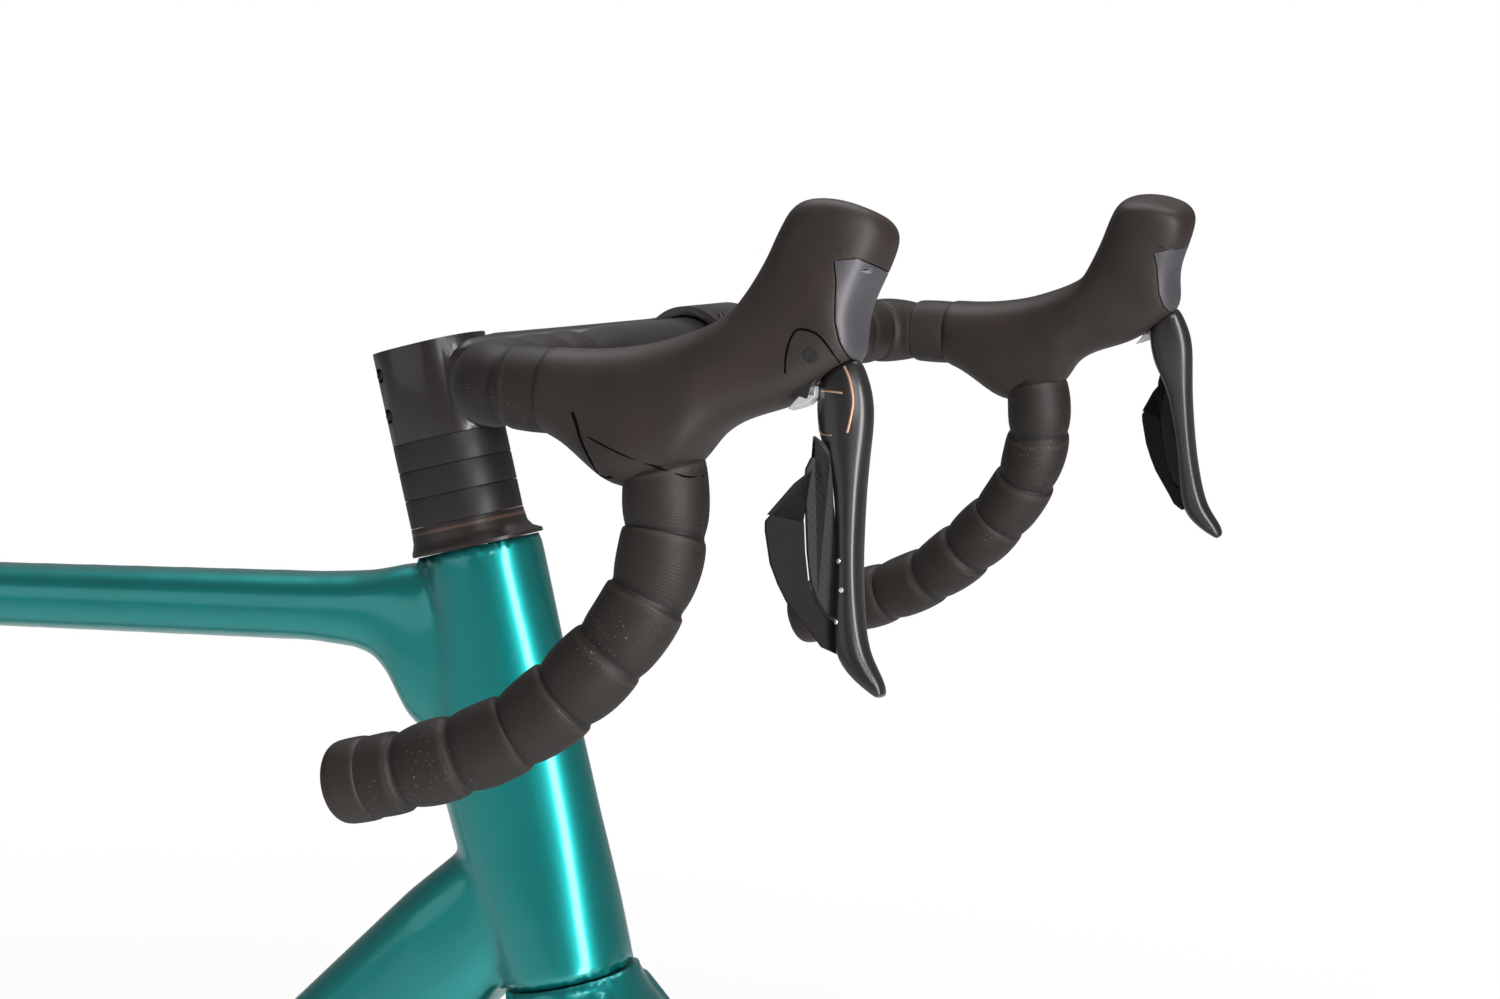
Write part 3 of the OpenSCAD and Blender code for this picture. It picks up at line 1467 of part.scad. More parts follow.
// Front derailleur: the bracket is on the seat tube, and the cage hangs from its pin
fd_pin = bb + [-22, -31, 144];
fd_tube = bb + seat_up * 150;

module front_derailleur() color(carbon) {
    difference() {
        union() {
            translate([fd_tube.x - 8, -29, fd_pin.z - 10])
                cube([20, 29, 20]);
            translate([fd_tube.x + 2, -37, fd_pin.z - 7])
                cube([8, 14, 14]);
        }
        front_form();
        seatpost_space(0.3);
        translate([fd_tube.x - 30, -15, fd_pin.z - 40])
            cube([60, 60, 80]);
    }
    translate([fd_tube.x + 8, fd_pin.y, fd_pin.z])
        rotate([0, 90, 0])
            cylinder(r = 2.5, h = 26);
}

// A plate of the cage: part of a ring round the chainrings
module cage_side(y, inner, outer) {
    across([bb.x, y, bb.z])
        rotate([0, 0, -112])
            rotate_extrude(angle = 36)
                translate([inner, 0])
                    square([outer - inner, 1.4]);
}

module front_derailleur_cage() color(steel) {
    r = pitch_r(big_teeth);
    difference() {
        union() {
            cage_side(-chain_line - 6, r + 7, r + 21);
            cage_side(-chain_line + 4.4, r - 9, r + 21);
            across([bb.x, -chain_line - 6, bb.z])
                rotate([0, 0, -112])
                    rotate_extrude(angle = 12)
                        translate([r + 17, 0.5])
                            square([2, 11]);
            translate([fd_pin.x - 5, -42, bb.z + r + 12])
                cube([16, 3, 24]);
            translate([fd_pin.x + 3, fd_pin.y, fd_pin.z])
                rotate([0, 90, 0])
                    cylinder(r = 6, h = 10, center = true);
            translate([fd_pin.x - 2, -42, fd_pin.z - 4])
                cube([10, 11, 8]);
        }
        translate([fd_pin.x - 20, fd_pin.y, fd_pin.z])
            rotate([0, 90, 0])
                cylinder(r = 2.5 + fit_gap, h = 60);
    }
}

front_triangle();
rear_triangle();
derailleur_hanger();
bottle_bosses();
headset_bearings();
bottom_bracket();
seatpost();
seatpost_clamp();
saddle_clamp();
saddle_rails();
saddle();
front_derailleur();
front_derailleur_cage();
rear_derailleur();
rear_derailleur_outer_link();
rear_derailleur_inner_link();
rear_derailleur_knuckle();
rear_derailleur_cage();
guide_pulley();
tension_pulley();
rear_caliper();
rear_axle();
chain();
fork();
headset_cover();
headset_spacers();
stem();
stem_faceplate();
stem_bolts();
stem_top_cap();
handlebar();
bar_tape();
bar_end_plugs();
brake_hoods();
lever_brackets();
front_caliper();
front_axle();
right_brake_lever();
left_brake_lever();
right_front_paddle();
right_rear_paddle();
left_front_paddle();
left_rear_paddle();
front_rim();
front_tyre();
front_spokes();
front_hub();
front_disc();
rear_rim();
rear_tyre();
rear_spokes();
rear_hub();
rear_disc();
cassette();
right_crank();
left_crank();
chainrings();
pedal_axles();
right_pedal();
left_pedal();
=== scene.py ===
import json
from math import cos, radians, sin, tau

import bmesh
import bpy
from bpy.props import FloatProperty, FloatVectorProperty, IntProperty, PointerProperty
from mathutils import Matrix, Vector
from mathutils.bvhtree import BVHTree

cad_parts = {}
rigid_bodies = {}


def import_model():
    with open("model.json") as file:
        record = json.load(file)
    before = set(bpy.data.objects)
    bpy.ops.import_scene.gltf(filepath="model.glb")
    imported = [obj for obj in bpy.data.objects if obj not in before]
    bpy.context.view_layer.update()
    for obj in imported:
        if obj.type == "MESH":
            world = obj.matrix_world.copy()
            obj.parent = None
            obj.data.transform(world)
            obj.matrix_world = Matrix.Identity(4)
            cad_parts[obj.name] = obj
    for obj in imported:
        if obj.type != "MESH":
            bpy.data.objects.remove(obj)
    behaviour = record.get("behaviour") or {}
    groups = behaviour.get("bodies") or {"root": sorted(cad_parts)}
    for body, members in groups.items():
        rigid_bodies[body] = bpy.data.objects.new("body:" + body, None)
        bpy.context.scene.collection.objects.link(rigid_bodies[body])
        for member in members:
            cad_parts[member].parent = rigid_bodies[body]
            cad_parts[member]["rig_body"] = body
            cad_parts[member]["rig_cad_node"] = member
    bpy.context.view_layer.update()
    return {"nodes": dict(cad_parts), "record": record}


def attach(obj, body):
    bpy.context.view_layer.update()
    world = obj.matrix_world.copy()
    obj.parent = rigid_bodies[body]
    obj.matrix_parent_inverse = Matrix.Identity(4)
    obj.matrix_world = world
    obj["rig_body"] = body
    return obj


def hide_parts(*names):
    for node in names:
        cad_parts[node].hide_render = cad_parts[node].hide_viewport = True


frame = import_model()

bl_info = {
    "name": "Road Bicycle",
    "version": (1, 0, 0),
    "blender": (4, 5, 0),
    "location": "View3D > Sidebar > Bicycle",
    "description": "Finished look of a road bicycle round its packed CAD frame",
    "category": "Object",
}

MM = 0.001
PHOTO_W, PHOTO_H = 1500, 999
# Steering axis in millimetres: its foot, its direction, and the head tube's ends along it
STEER_FOOT = Vector((461.966, 0, 326.843))
STEER_UP = Vector((-0.292372, 0, 0.956305))
HEAD_LOW, HEAD_TOP = 368.05, 555.05
CROWN_TOP = HEAD_LOW - 0.8
# In metres: the top cover's copper line along that axis, and the wheels' axles
COPPER_LINE = 0.5655
AXLE_X, AXLE_Z = 0.505, 0.34
# Depth of the finest grain in a finish, and width of a softened edge, in metres
FINE_GRAIN = 0.00002
SOFT_EDGE = 0.0004
WHITE = (1, 1, 1, 1)
SENSOR = 36.0
# Millimetres from the camera at which a ray that misses looks for the nearest surface
NEAREST_AT = range(600, 2600, 20)


# --- properties


def colour(name, description, value):
    return FloatVectorProperty(name=name, description=description, subtype="COLOR", default=value)


def watts(name, description, value):
    return FloatProperty(name=name, description=f"Power of the {description} in watts", default=value)


def metres(name, description, value, low, high):
    return FloatProperty(name=name, description=description, unit="LENGTH", default=value, min=low,
        max=high)


class BicycleColours(bpy.types.PropertyGroup):
    """Colours of the bicycle, in linear light"""

    paint: colour("Frame paint", "Metallic paint of the frame and fork", (0.003, 0.270, 0.262))
    hood_rubber: colour("Hood rubber", "Rubber of the lever hoods", (0.0180, 0.0112, 0.0090))
    tape: colour("Bar tape", "Cushioned tape on the bar", (0.0125, 0.0084, 0.0068))
    satin_black: colour("Satin black", "Stem, spacers, bar and posts", (0.0075, 0.0056, 0.0050))
    plate_grey: colour("Plate grey", "Front plate of each lever", (0.062, 0.059, 0.066))
    bright_steel: colour("Bright steel", "Chain, sprockets and discs", (0.52, 0.52, 0.54))
    anodised: colour("Black alloy", "Cranks, hubs and derailleurs", (0.020, 0.020, 0.022))


class BicycleSizes(bpy.types.PropertyGroup):
    """Sizes of the detail that is added to the CAD pieces"""

    tape_wrap: metres("Tape wrap", "Distance from one wrap of tape to the next", 0.0225, 0.015, 0.035)
    tape_lip: metres("Tape lip", "Height of a wrap's edge over the last wrap", 0.0011, 0.0, 0.002)
    tape_lean: FloatProperty(name="Tape lean", description="Lean of a wrap's edge to the bar",
        subtype="ANGLE", default=radians(14))
    shell_voxel: metres("Shell voxel", "Grain of the blended frame shell", 0.0024, 0.0015, 0.005)
    blend_steps: IntProperty(name="Blend steps", description="Smoothing steps at the tube joints",
        default=14, min=1, max=40)
    seam: metres("Seam", "Width of the gap between the hood and its plate", 0.0005, 0.0002, 0.001)


class BicycleStudio(bpy.types.PropertyGroup):
    """Camera and lamps"""

    camera_place: FloatVectorProperty(name="Camera place", description="Where the camera stands",
        subtype="TRANSLATION", unit="LENGTH", default=(0.863, -1.040, 1.0465))
    camera_right: FloatVectorProperty(name="Camera right", description="Right of the picture",
        subtype="DIRECTION", default=(0.91673, 0.39532, 0.05768))
    camera_forward: FloatVectorProperty(name="Camera forward", description="Where the camera looks",
        subtype="DIRECTION", default=(-0.38502, 0.91276, -0.13652))
    lens: FloatProperty(name="Lens", description="Focal length in millimetres", default=67.2)
    strip_power: watts("Strip lamp", "upright strip", 64.0)
    key_power: watts("Key lamp", "large lamp", 22.0)
    fill_power: watts("Fill lamp", "fill lamp", 7.0)
    top_power: watts("Top lamp", "overhead lamp", 46.0)
    sky: FloatProperty(name="Sky", description="Strength of the room light", default=0.19)


GROUPS = {"bicycle_colours": BicycleColours, "bicycle_sizes": BicycleSizes,
          "bicycle_studio": BicycleStudio}


# --- shader tools


class Value:
    """One socket of a material, so that shader sums read as Python"""

    def __init__(self, finish, socket):
        self.finish, self.socket = finish, socket


# Each sign of Value makes one math node
for sign, operation in (("add", "ADD"), ("sub", "SUBTRACT"), ("mul", "MULTIPLY"), ("pow", "POWER")):
    setattr(Value, f"__{sign}__",
        lambda self, other, kind=operation: self.finish.maths(kind, self, other))
    setattr(Value, f"__r{sign}__",
        lambda self, other, kind=operation: self.finish.maths(kind, other, self))


class Finish:
    """A node-based material, or the world, and the steps that make one"""

    def __init__(self, name, family="materials"):
        self.material = getattr(bpy.data, family).new(name)
        self.material.use_nodes = True
        self.tree = self.material.node_tree
        self.tree.nodes.clear()
        self.place = self.node("ShaderNodeTexCoord", {}, {}, "Object")

    def node(self, kind, settings, sockets, out=0):
        """Adds a node, first its settings, then its sockets' values or links"""
        made = self.tree.nodes.new(kind)
        for key, value in settings.items():
            setattr(made, key, value)
        for key, value in sockets.items():
            if isinstance(value, Value):
                self.tree.links.new(value.socket, made.inputs[key])
            else:
                made.inputs[key].default_value = value
        return Value(self, made.outputs[out]) if made.outputs else None

    def maths(self, operation, *terms):
        """A function of one value or two"""
        return self.node("ShaderNodeMath", {"operation": operation}, dict(enumerate(terms)))

    def axes(self):
        """X, Y and Z in object space"""
        first = self.node("ShaderNodeSeparateXYZ", {}, {0: self.place})
        return [Value(self, out) for out in first.socket.node.outputs]

    def noise(self, scale, detail=3.0, stretch=(1, 1, 1)):
        """Noise in object space, with the scale in grains for each metre"""
        at = self.node("ShaderNodeMapping", {}, {"Vector": self.place, "Scale": stretch})
        return self.node("ShaderNodeTexNoise", {}, {"Vector": at, "Scale": scale,
            "Detail": detail, "Roughness": 0.55}, "Fac")

    def ramp(self, value, low, high):
        """0 below low, 1 above high"""
        return self.node("ShaderNodeMapRange", {"interpolation_type": "SMOOTHSTEP"},
            {"Value": value, "From Min": low, "From Max": high}, "Result")

    def mix(self, factor, first, second):
        """From the first colour to the second"""
        return self.node("ShaderNodeMix", {"data_type": "RGBA"},
            {"Factor": factor, 6: colour4(first), 7: colour4(second)}, 2)

    def bump(self, height, distance, strength=1.0):
        """Normal from a height between 0 and 1, with its full depth in metres"""
        return self.node("ShaderNodeBump", {}, {"Height": height, "Distance": distance,
            "Strength": strength}, "Normal")

    def surface(self, **sockets):
        """The finished shader"""
        shader = self.node("ShaderNodeBsdfPrincipled", {},
            {key.replace("_", " "): value for key, value in sockets.items()})
        self.node("ShaderNodeOutputMaterial", {}, {"Surface": shader})
        return self.material


def colour4(colour):
    """A colour with its alpha, or the link it already is"""
    return colour if isinstance(colour, Value) else (*colour, 1.0)


def shaded(colour, factor):
    """A colour made darker or lighter"""
    return tuple(min(1.0, c * factor) for c in colour)


# --- finishes


def colours():
    return bpy.context.scene.bicycle_colours


def frame_paint():
    """Metallic paint with fine flakes under a clear coat"""
    f = Finish("frame_paint")
    flake = f.noise(5200, 1.0)
    cloud = f.noise(14, 2.0)
    tint = f.mix(f.ramp(cloud, 0.3, 0.7), colours().paint, shaded(colours().paint, 0.9))
    body = f.mix(f.ramp(flake, 0.5, 0.75) * 0.35, tint, shaded(colours().paint, 1.7))
    return f.surface(Base_Color=body, Metallic=0.85, Roughness=0.33 + 0.1 * flake,
        Coat_Weight=0.8, Coat_Roughness=0.13, Normal=f.bump(flake, 0.00001, 0.3))


def hood_rubber(name="hood_rubber"):
    """Matte rubber with a fine moulded grain"""
    f = Finish(name)
    grain = f.noise(3400, 2.0)
    cloud = f.noise(60, 3.0)
    worn = f.mix(f.ramp(cloud, 0.35, 0.7), shaded(colours().hood_rubber, 0.86),
        shaded(colours().hood_rubber, 1.14))
    return f.surface(Base_Color=worn, Roughness=0.46 + 0.14 * cloud, Specular_IOR_Level=0.42,
        Normal=f.bump(grain, 0.00006, 0.5))


def bar_tape_finish():
    """Cushioned tape: fine lines across each wrap, lighter in patches along each wrap's lip, with
    painted shade in the sunken line between wraps
    """
    f = Finish("bar_tape_finish")
    along, edge = (f.node("ShaderNodeAttribute", {"attribute_name": name}, {}, "Fac")
        for name in ("along", "edge"))
    lines = f.maths("SINE", along * (tau / 0.0011))
    grain = f.noise(2400, 3.0)
    cloud = f.noise(90, 3.0)
    height = grain * 0.5 + lines * 0.22
    # Painted shade: the sunken line between wraps (edge -1) darkens to a quarter of the tape colour
    groove_shaded = f.mix(f.ramp(edge * -1.0, 0.3, 0.95), colours().tape, shaded(colours().tape, 0.25))
    tint = f.mix(f.ramp(edge, 0.5, 1.0) * f.ramp(cloud, 0.2, 0.7), groove_shaded,
        shaded(colours().tape, 2.2))
    specks = f.ramp(f.noise(1300, 1.0), 0.70, 0.76) * f.ramp(f.noise(38, 2.0), 0.5, 0.62)
    tint = f.mix(specks, tint, (0.16, 0.155, 0.15))
    return f.surface(Base_Color=tint, Roughness=0.5 + 0.16 * cloud, Specular_IOR_Level=0.4,
        Normal=f.bump(height, 0.00012, 0.7))


def clouded(name, scale, first, second, rough, drift=0.0, grain=0, depth=0.35, **rest):
    """Finish that drifts between two colours, in roughness too, with a fine grain if it has one"""
    f = Finish(name)
    cloud = f.noise(scale, 2.0)
    if grain:
        rest["Normal"] = f.bump(f.noise(grain, 2.0), FINE_GRAIN, depth)
    return f.surface(Base_Color=f.mix(cloud, first, second), Roughness=rough + drift * cloud, **rest)


def satin_black(name, base=None, rough=0.46, coat=0.0):
    """Satin black over composite, with faint cloth below it"""
    base = base or tuple(colours().satin_black)
    return clouded(name, 30, shaded(base, 0.8), shaded(base, 1.3), rough, 0.1, 1800, 0.4,
        Coat_Weight=coat, Coat_Roughness=0.08)


def cover_finish():
    """Top cover: warm black skirt under a thin copper line"""
    f = Finish("cover_finish")
    x, _, z = f.axes()
    up = (x - STEER_FOOT.x * MM) * STEER_UP.x + (z - STEER_FOOT.z * MM) * STEER_UP.z
    line = f.ramp(up, COPPER_LINE - 0.0014, COPPER_LINE - 0.0008) \
        * (1 - f.ramp(up, COPPER_LINE, COPPER_LINE + 0.0004))
    skirt = f.mix(f.noise(40, 2.0), (0.012, 0.0085, 0.0075), (0.018, 0.0125, 0.0105))
    return f.surface(Base_Color=f.mix(line, skirt, (0.075, 0.042, 0.032)),
        Roughness=0.4 - 0.1 * line, Normal=f.bump(f.noise(1800, 2.0), FINE_GRAIN, 0.4))


def lever_plate():
    """Satin grey plate with a light sheen"""
    base = colours().plate_grey
    return clouded("lever_plate", 45, shaded(base, 0.85), shaded(base, 1.2), 0.4, 0.08, 2600,
        Metallic=0.3)


def ribbed_paddle():
    """Shift paddle with fine moulded ribs, their valleys painted darker as shade"""
    f = Finish("ribbed_paddle")
    ribs = f.node("ShaderNodeTexWave", {"bands_direction": "DIAGONAL"},
        {"Vector": f.place, "Scale": 220.0, "Distortion": 0.0}, "Fac")
    # Painted shade: the rib valleys take the darker colour and the crests the lighter
    return f.surface(Base_Color=f.mix(ribs, (0.0062, 0.0058, 0.0056), (0.0098, 0.0090, 0.0086)),
        Roughness=0.56 + 0.1 * ribs, Specular_IOR_Level=0.3, Normal=f.bump(ribs, 0.00012, 0.35))


def alloy(name, base, rough=0.3, metal=1.0):
    """Anodised or polished alloy, fine turned grain"""
    f = Finish(name)
    grain = f.noise(1500, 2.0, (1, 0.2, 1))
    cloud = f.noise(25, 2.0)
    return f.surface(Base_Color=f.mix(cloud, shaded(base, 0.85), shaded(base, 1.15)), Metallic=metal,
        Roughness=rough + 0.12 * grain, Normal=f.bump(grain, FINE_GRAIN, 0.3))


def steel(name, base, rough=0.24):
    """Bright steel with a brushed grain and a trace of oil"""
    f = Finish(name)
    grain = f.noise(900, 3.0, (1, 6, 1))
    film = f.ramp(f.noise(70, 3.0), 0.45, 0.75)
    return f.surface(Base_Color=f.mix(film, base, shaded(base, 0.62)), Metallic=1.0,
        Roughness=rough + 0.18 * grain, Normal=f.bump(grain, FINE_GRAIN, 0.25))


def tyre_rubber(name, axle_x):
    """Tyre: ribbed shoulder, smooth crown, dull side wall"""
    f = Finish(name)
    x, y, z = f.axes()
    x = x - axle_x
    z = z - AXLE_Z
    radius = (x * x + z * z) ** 0.5
    angle = f.maths("ARCTAN2", z, x)
    width = f.maths("ABSOLUTE", y)
    shoulder = f.ramp(width, 0.0045, 0.0055) * (1 - f.ramp(width, 0.0105, 0.0115)) \
        * f.ramp(radius, 0.326, 0.329)
    file_lines = f.maths("SINE", angle * 760 + width * 1500)
    grain = f.noise(1500, 3.0)
    crown = f.ramp(radius, 0.3345, 0.3375)
    tint = f.mix(crown, (0.016, 0.015, 0.015), (0.030, 0.029, 0.028))
    return f.surface(Base_Color=tint, Roughness=0.62 + 0.2 * crown,
        Normal=f.bump(grain * 0.3 + shoulder * file_lines * 0.5, 0.0003, 0.8))


def saddle_cover():
    """Fine-grained cover of the saddle"""
    f = Finish("saddle_cover")
    grain = f.node("ShaderNodeTexVoronoi", {}, {"Vector": f.place, "Scale": 900.0}, "Distance")
    cloud = f.noise(35, 3.0)
    return f.surface(Base_Color=f.mix(cloud, (0.014, 0.014, 0.015), (0.026, 0.026, 0.027)),
        Roughness=0.5 + 0.14 * cloud, Normal=f.bump(grain, 0.0002, 0.35))


# --- modelling tools


def object_mode():
    if bpy.context.object and bpy.context.object.mode != "OBJECT":
        bpy.ops.object.mode_set(mode="OBJECT")


def only(*pieces):
    """Selects these objects and nothing else"""
    object_mode()
    bpy.ops.object.select_all(action="DESELECT")
    for piece in pieces:
        piece.select_set(True)
    bpy.context.view_layer.objects.active = pieces[0]


def edit(piece):
    only(piece)
    bpy.ops.object.mode_set(mode="EDIT")
    bpy.ops.mesh.select_all(action="SELECT")


def modify(piece, kind, **settings):
    """Adds a modifier and applies it"""
    only(piece)
    bpy.ops.object.modifier_add(type=kind)
    modifier = piece.modifiers[-1]
    for key, value in settings.items():
        setattr(modifier, key, value)
    bpy.ops.object.modifier_apply(modifier=modifier.name)


def smooth(piece, angle=None):
    only(piece)
    if angle is None:
        bpy.ops.object.shade_smooth()
    else:
        bpy.ops.object.shade_smooth_by_angle(angle=radians(angle))


def soften(piece, width, sharp, shade, **more):
    """Rounds the edges sharper than an angle, then shades the rest by angle"""
    modify(piece, "BEVEL", width=width, segments=2, limit_method="ANGLE",
        angle_limit=radians(sharp), **more)
    smooth(piece, shade)


def paint(piece, material):
    piece.data.materials.clear()
    piece.data.materials.append(material)


def blank(name):
    """An empty mesh object at the origin, in edit mode"""
    object_mode()
    bpy.ops.object.select_all(action="DESELECT")
    bpy.ops.mesh.primitive_circle_add(vertices=3, radius=0.01, location=(0, 0, 0))
    piece = bpy.context.object
    piece.name = piece.data.name = name
    edit(piece)
    bpy.ops.mesh.delete(type="VERT")
    return piece


class Ring:
    """Closed ring: centre, half sizes a and b along u and v, and how square it is"""

    def __init__(self, centre, u, v, a, b, power=2.0):
        self.centre, self.u, self.v = Vector(centre), Vector(u).normalized(), Vector(v).normalized()
        self.a, self.b, self.power = a, b, power

    def turn(self):
        return Matrix((self.u, self.v, self.u.cross(self.v))).transposed()


def add_ring(piece, ring, count):
    """Adds a circle for the ring, then draws it out and squares it off"""
    bpy.ops.mesh.primitive_circle_add(vertices=count, radius=ring.a, location=ring.centre,
        rotation=ring.turn().to_euler())
    if ring.power == 2.0 and ring.a == ring.b:
        return
    mesh = bmesh.from_edit_mesh(piece.data)
    for v in mesh.verts:
        if v.select:
            p = (v.co - ring.centre) / ring.a
            q = (p.dot(ring.u), p.dot(ring.v))
            bent = [abs(t) ** (2 / ring.power) * (1 if t > 0 else -1) for t in q]
            v.co = ring.centre + ring.u * bent[0] * ring.a + ring.v * bent[1] * ring.b
    bmesh.update_edit_mesh(piece.data)


def loft(name, rings, count, levels):
    """Bridges a row of rings, fills its ends and subdivides it"""
    piece = blank(name)
    for ring in rings:
        add_ring(piece, ring, count)
    for k in range(len(rings) - 1):
        select_verts(piece, range(k * count, (k + 2) * count))
        bpy.ops.mesh.bridge_edge_loops()
    for k in (0, len(rings) - 1):
        select_verts(piece, range(k * count, (k + 1) * count))
        bpy.ops.mesh.edge_face_add()
        bpy.ops.mesh.inset(thickness=min(rings[k].a, rings[k].b) * 0.35)
    bpy.ops.mesh.select_all(action="SELECT")
    bpy.ops.mesh.normals_make_consistent(inside=False)
    if levels:
        modify(piece, "SUBSURF", levels=levels, render_levels=levels)
    smooth(piece)
    return piece


def select_verts(piece, numbers):
    """Selects vertices by number, and the edges between them"""
    bpy.ops.mesh.select_all(action="DESELECT")
    mesh = bmesh.from_edit_mesh(piece.data)
    mesh.verts.ensure_lookup_table()
    chosen = {mesh.verts[n] for n in numbers}
    for v in chosen:
        v.select = True
    for e in mesh.edges:
        if e.verts[0] in chosen and e.verts[1] in chosen:
            e.select = True
    bmesh.update_edit_mesh(piece.data)


def slab(name, corners, through):
    """A flat plate with these corners, drawn out through its thickness"""
    piece = blank(name)
    bpy.ops.mesh.primitive_circle_add(vertices=len(corners), radius=1)
    mesh = bmesh.from_edit_mesh(piece.data)
    mesh.verts.ensure_lookup_table()
    for vert, corner in zip(mesh.verts, corners):
        vert.co = corner
    bmesh.update_edit_mesh(piece.data)
    bpy.ops.mesh.select_all(action="SELECT")
    bpy.ops.mesh.edge_face_add()
    bpy.ops.mesh.extrude_region_move(TRANSFORM_OT_translate={"value": through})
    bpy.ops.mesh.select_all(action="SELECT")
    bpy.ops.mesh.normals_make_consistent(inside=False)
    object_mode()
    return piece


def prism(name, outline, u, at, half):
    """A plate whose outline, in millimetres, lies along u and up the lever, half thick each way"""
    across = u.cross(LEVER_UP)
    corners = [at + u * (x * MM) + LEVER_UP * (y * MM) - across * half for x, y in outline]
    return slab(name, corners, across * half * 2)


def copied(piece, name):
    """A second object with its own mesh"""
    other = piece.copy()
    other.data = piece.data.copy()
    other.name = other.data.name = name
    bpy.context.scene.collection.objects.link(other)
    return other


def copy_of(name, *nodes):
    """A merged copy of CAD nodes that can be worked on"""
    copies = [copied(frame["nodes"][node], name) for node in nodes]
    for copy in copies:
        copy.parent = None
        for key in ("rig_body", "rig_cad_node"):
            if key in copy:
                del copy[key]
    only(*copies)
    if len(copies) > 1:
        bpy.ops.object.join()
    piece = bpy.context.object
    piece.name = piece.data.name = name
    edit(piece)
    bpy.ops.mesh.remove_doubles(threshold=0.000002)
    object_mode()
    return piece


def mirrored(piece):
    """The same piece on the left of the bicycle"""
    other = copied(piece, piece.name.replace("right", "left"))
    other.data.transform(Matrix.Scale(-1, 4, (0, 1, 0)))
    other.data.flip_normals()
    return other


def declare(piece, material, body, slot, *nodes):
    """Paints a piece, hides the CAD nodes it stands for and hangs it on the body it rides on; slot,
    what it is made of, is not used
    """
    paint(piece, material)
    if nodes:
        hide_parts(*nodes)
    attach(piece, body)


def declare_pair(piece, material, body, slot, *nodes):
    """Declares a right-hand piece and its mirrored twin; SIDE in a name is either's side"""
    for half, side in ((piece, "right"), (mirrored(piece), "left")):
        declare(half, material, body.replace("SIDE", side), slot,
            *(node.replace("SIDE", side) for node in nodes))


def carve(piece, tool, operation):
    modify(piece, "BOOLEAN", operation=operation, object=tool, solver="MANIFOLD")


def drop(piece):
    bpy.data.objects.remove(piece, do_unlink=True)


# --- picture geometry


def camera_axes():
    studio = bpy.context.scene.bicycle_studio
    right = Vector(studio.camera_right).normalized()
    forward = Vector(studio.camera_forward)
    forward = (forward - right * forward.dot(right)).normalized()
    return right, right.cross(forward), forward


def to_picture(point):
    """Where a point shows in the photograph's frame"""
    studio = bpy.context.scene.bicycle_studio
    right, up, forward = camera_axes()
    p = Vector(point) - Vector(studio.camera_place)
    scale = max(PHOTO_W, PHOTO_H) * studio.lens / SENSOR / p.dot(forward)
    return PHOTO_W / 2 + p.dot(right) * scale, PHOTO_H / 2 - p.dot(up) * scale


def place_on(carriers, x, y):
    """Where the ray through a picture point meets the carriers, or else passes nearest to them"""
    studio = bpy.context.scene.bicycle_studio
    right, up, forward = camera_axes()
    eye = Vector(studio.camera_place)
    ray = (right * (x - PHOTO_W / 2) + up * (PHOTO_H / 2 - y)
        + forward * max(PHOTO_W, PHOTO_H) * studio.lens / SENSOR).normalized()
    graph = bpy.context.evaluated_depsgraph_get()
    trees = [BVHTree.FromObject(carrier, graph) for carrier in carriers]
    hits = [hit for hit in (tree.ray_cast(eye, ray) for tree in trees) if hit[0] is not None]
    if not hits:
        hits = [tree.find_nearest(eye + ray * (k * MM)) for tree in trees for k in NEAREST_AT]
    return min(hits, key=lambda hit: hit[3])[:2]


# --- bar, tape and levers

BAR = Vector((401.483, 0, 949.207))
BAR_SIDE, BAR_REACH, BAR_DROP = 205, 79, 144
# Right half of the bar, from the stem: forwards, to the side and up
BAR_POINTS = [BAR + Vector((x, -side, z)) for x, side, z in (
    (0, 0, 0), (0, 50, 0), (0, 100, 0), (0, BAR_SIDE - 52, 0), (1.5, BAR_SIDE - 24, 0),
    (10.5, BAR_SIDE - 7, 0.5), (31, BAR_SIDE - 2, 1), (BAR_REACH - 22, BAR_SIDE - 2, 0.5),
    (BAR_REACH - 7, BAR_SIDE - 1, -8), (BAR_REACH - 0.5, BAR_SIDE, -24),
    (BAR_REACH, BAR_SIDE + 1, -BAR_DROP * 0.34), (BAR_REACH - 8, BAR_SIDE + 2, -BAR_DROP * 0.5),
    (BAR_REACH - 26, BAR_SIDE + 3.5, -BAR_DROP * 0.66),
    (BAR_REACH - 51, BAR_SIDE + 5, -BAR_DROP * 0.81),
    (BAR_REACH - 86, BAR_SIDE + 6, -BAR_DROP * 0.925),
    (BAR_REACH - 119, BAR_SIDE + 7, -BAR_DROP))]
TAPE_R = 14.4
PIVOT = Vector((527.483, -200, 967.907))
LEVER_LEAN = radians(-11.64)
LEVER_SIDE = Vector((0, cos(LEVER_LEAN), sin(LEVER_LEAN)))
LEVER_UP = Vector((0, -sin(LEVER_LEAN), cos(LEVER_LEAN)))
FORWARD = Vector((1, 0, 0))
# Steps from one point of a curve to the next, and how far a thin line is sunk, in its own radius
FINE, LINE_SINK = 40, 0.3


def curve_point(points, f):
    """Point on the smooth curve through the points, f counting from one to the next"""
    k = min(int(f), len(points) - 2)
    f -= k
    a, b = points[max(k - 1, 0)], points[k]
    c, d = points[k + 1], points[min(k + 2, len(points) - 1)]
    return 0.5 * (2 * b + (c - a) * f + (2 * a - 5 * b + 4 * c - d) * f * f
        + (3 * b - a - 3 * c + d) * f * f * f)


